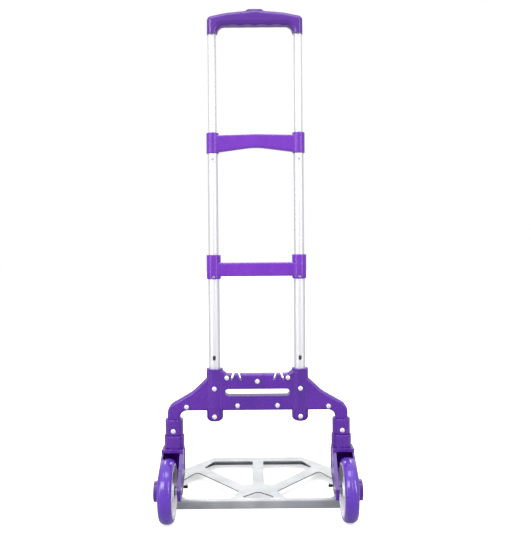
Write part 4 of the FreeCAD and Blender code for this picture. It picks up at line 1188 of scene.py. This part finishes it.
@dataclass
class Studio:
    """A pale floor, a white room and soft lights."""

    camera_back: float = 1.373
    camera_height: float = 0.5
    lens: float = 45.6
    shift: float = 0.0169
    tilt_degrees: float = -1.41
    roll_degrees: float = -0.45
    floor_size: float = 30.0
    floor_drop: float = 0.0004

    def build(self) -> None:
        """Make the floor, the room, the lights and the camera."""
        self.floor()
        self.room()
        for lamp in LAMPS:
            self.lamp(lamp)
        self.camera()

    def floor(self) -> None:
        """A wide matt floor with a soft grain."""
        half = self.floor_size / 2
        mesh = bpy.data.meshes.new("floor")
        corners = [(-half, -half, 0), (half, -half, 0), (half, half, 0), (-half, half, 0)]
        mesh.from_pydata(corners, [], [(0, 1, 2, 3)])
        made = bpy.data.objects.new("floor", mesh)
        bpy.context.scene.collection.objects.link(made)
        made.location.z = -self.floor_drop
        paper = Finish("paper_matt_white", "#fbfbfc", 0.7)
        material, tree, shader = paper.start(Emission_Color=linear("#ffffff"), Emission_Strength=0.55)
        grain = paper.noise(tree, (300, 300, 300), 2.0)
        tree.links.new(paper.spread(tree, grain, (*NOISE_SPAN, 0.6, 0.75)), shader.inputs["Roughness"])
        grey = add_node(tree, "ShaderNodeBsdfDiffuse", {"Color": linear("#b2b2b6")})
        eye = add_node(tree, "ShaderNodeLightPath").outputs["Is Camera Ray"]
        both = add_node(tree, "ShaderNodeMixShader", {0: eye, 1: grey.outputs[0], 2: shader.outputs[0]})
        tree.links.new(both.outputs[0], tree.nodes["Material Output"].inputs["Surface"])
        mesh.materials.append(material)

    def room(self) -> None:
        """White to the eye, and a softly graded grey room for the reflections."""
        world = bpy.data.worlds.new("white_room")
        bpy.context.scene.world = world
        world.use_nodes = True
        tree = world.node_tree
        for node in list(tree.nodes):
            tree.nodes.remove(node)
        where = add_node(tree, "ShaderNodeTexCoord").outputs["Generated"]
        height = add_node(tree, "ShaderNodeSeparateXYZ", {0: where}).outputs["Z"]
        ramp = add_node(
            tree, "ShaderNodeMapRange",
            {"Value": height, "From Min": -0.3, "From Max": 0.8, "To Min": 0.3, "To Max": 0.85},
        )
        shade = add_node(tree, "ShaderNodeBackground", {"Color": ramp.outputs["Result"], "Strength": 1.3})
        white = add_node(tree, "ShaderNodeBackground", {"Color": (1.0, 1.0, 1.0, 1.0), "Strength": 1.0})
        eye = add_node(tree, "ShaderNodeLightPath").outputs["Is Camera Ray"]
        both = add_node(tree, "ShaderNodeMixShader", {0: eye, 1: shade.outputs[0], 2: white.outputs[0]})
        add_node(tree, "ShaderNodeOutputWorld", {"Surface": both.outputs[0]})
        bpy.context.scene.view_settings.view_transform = "Standard"

    def lamp(self, lamp: Lamp) -> None:
        """Hang one soft rectangular light.

        Args:
            lamp: The light.
        """
        data = bpy.data.lights.new(lamp.name, "AREA")
        data.shape, data.size, data.size_y, data.energy = "RECTANGLE", lamp.width, lamp.height, lamp.watts
        made = bpy.data.objects.new(lamp.name, data)
        bpy.context.scene.collection.objects.link(made)
        made.location = lamp.at
        made.rotation_euler = (Vector(lamp.to) - Vector(lamp.at)).to_track_quat("-Z", "Y").to_euler()

    def camera(self) -> None:
        """Stand the camera behind the cart, a little above half its height."""
        data = bpy.data.cameras.new("camera")
        data.lens = self.lens
        data.shift_x = self.shift
        made = bpy.data.objects.new("camera", data)
        bpy.context.scene.collection.objects.link(made)
        upright = Matrix.Rotation(math.radians(90.0 + self.tilt_degrees), 4, "X")
        turn = upright @ Matrix.Rotation(math.radians(self.roll_degrees), 4, "Z")
        made.matrix_world = Matrix.Translation((0.0, -self.camera_back, self.camera_height)) @ turn
        bpy.context.scene.camera = made


def main() -> None:
    """Build every piece, then the studio."""
    logging.basicConfig(level=logging.INFO, format="%(name)s: %(message)s")
    shop = Workshop()
    CarriedNodes(shop).build()
    CrossmemberRivets(shop).build()
    for side in SIDES:
        Wheel(shop, side).build()
        Hinge(shop, side).build()
        Axle(shop, side).build()
    GripScrews(shop).build()
    ButtonRidges(shop).build()
    Studio().build()


if __name__ == "__main__":
    main()
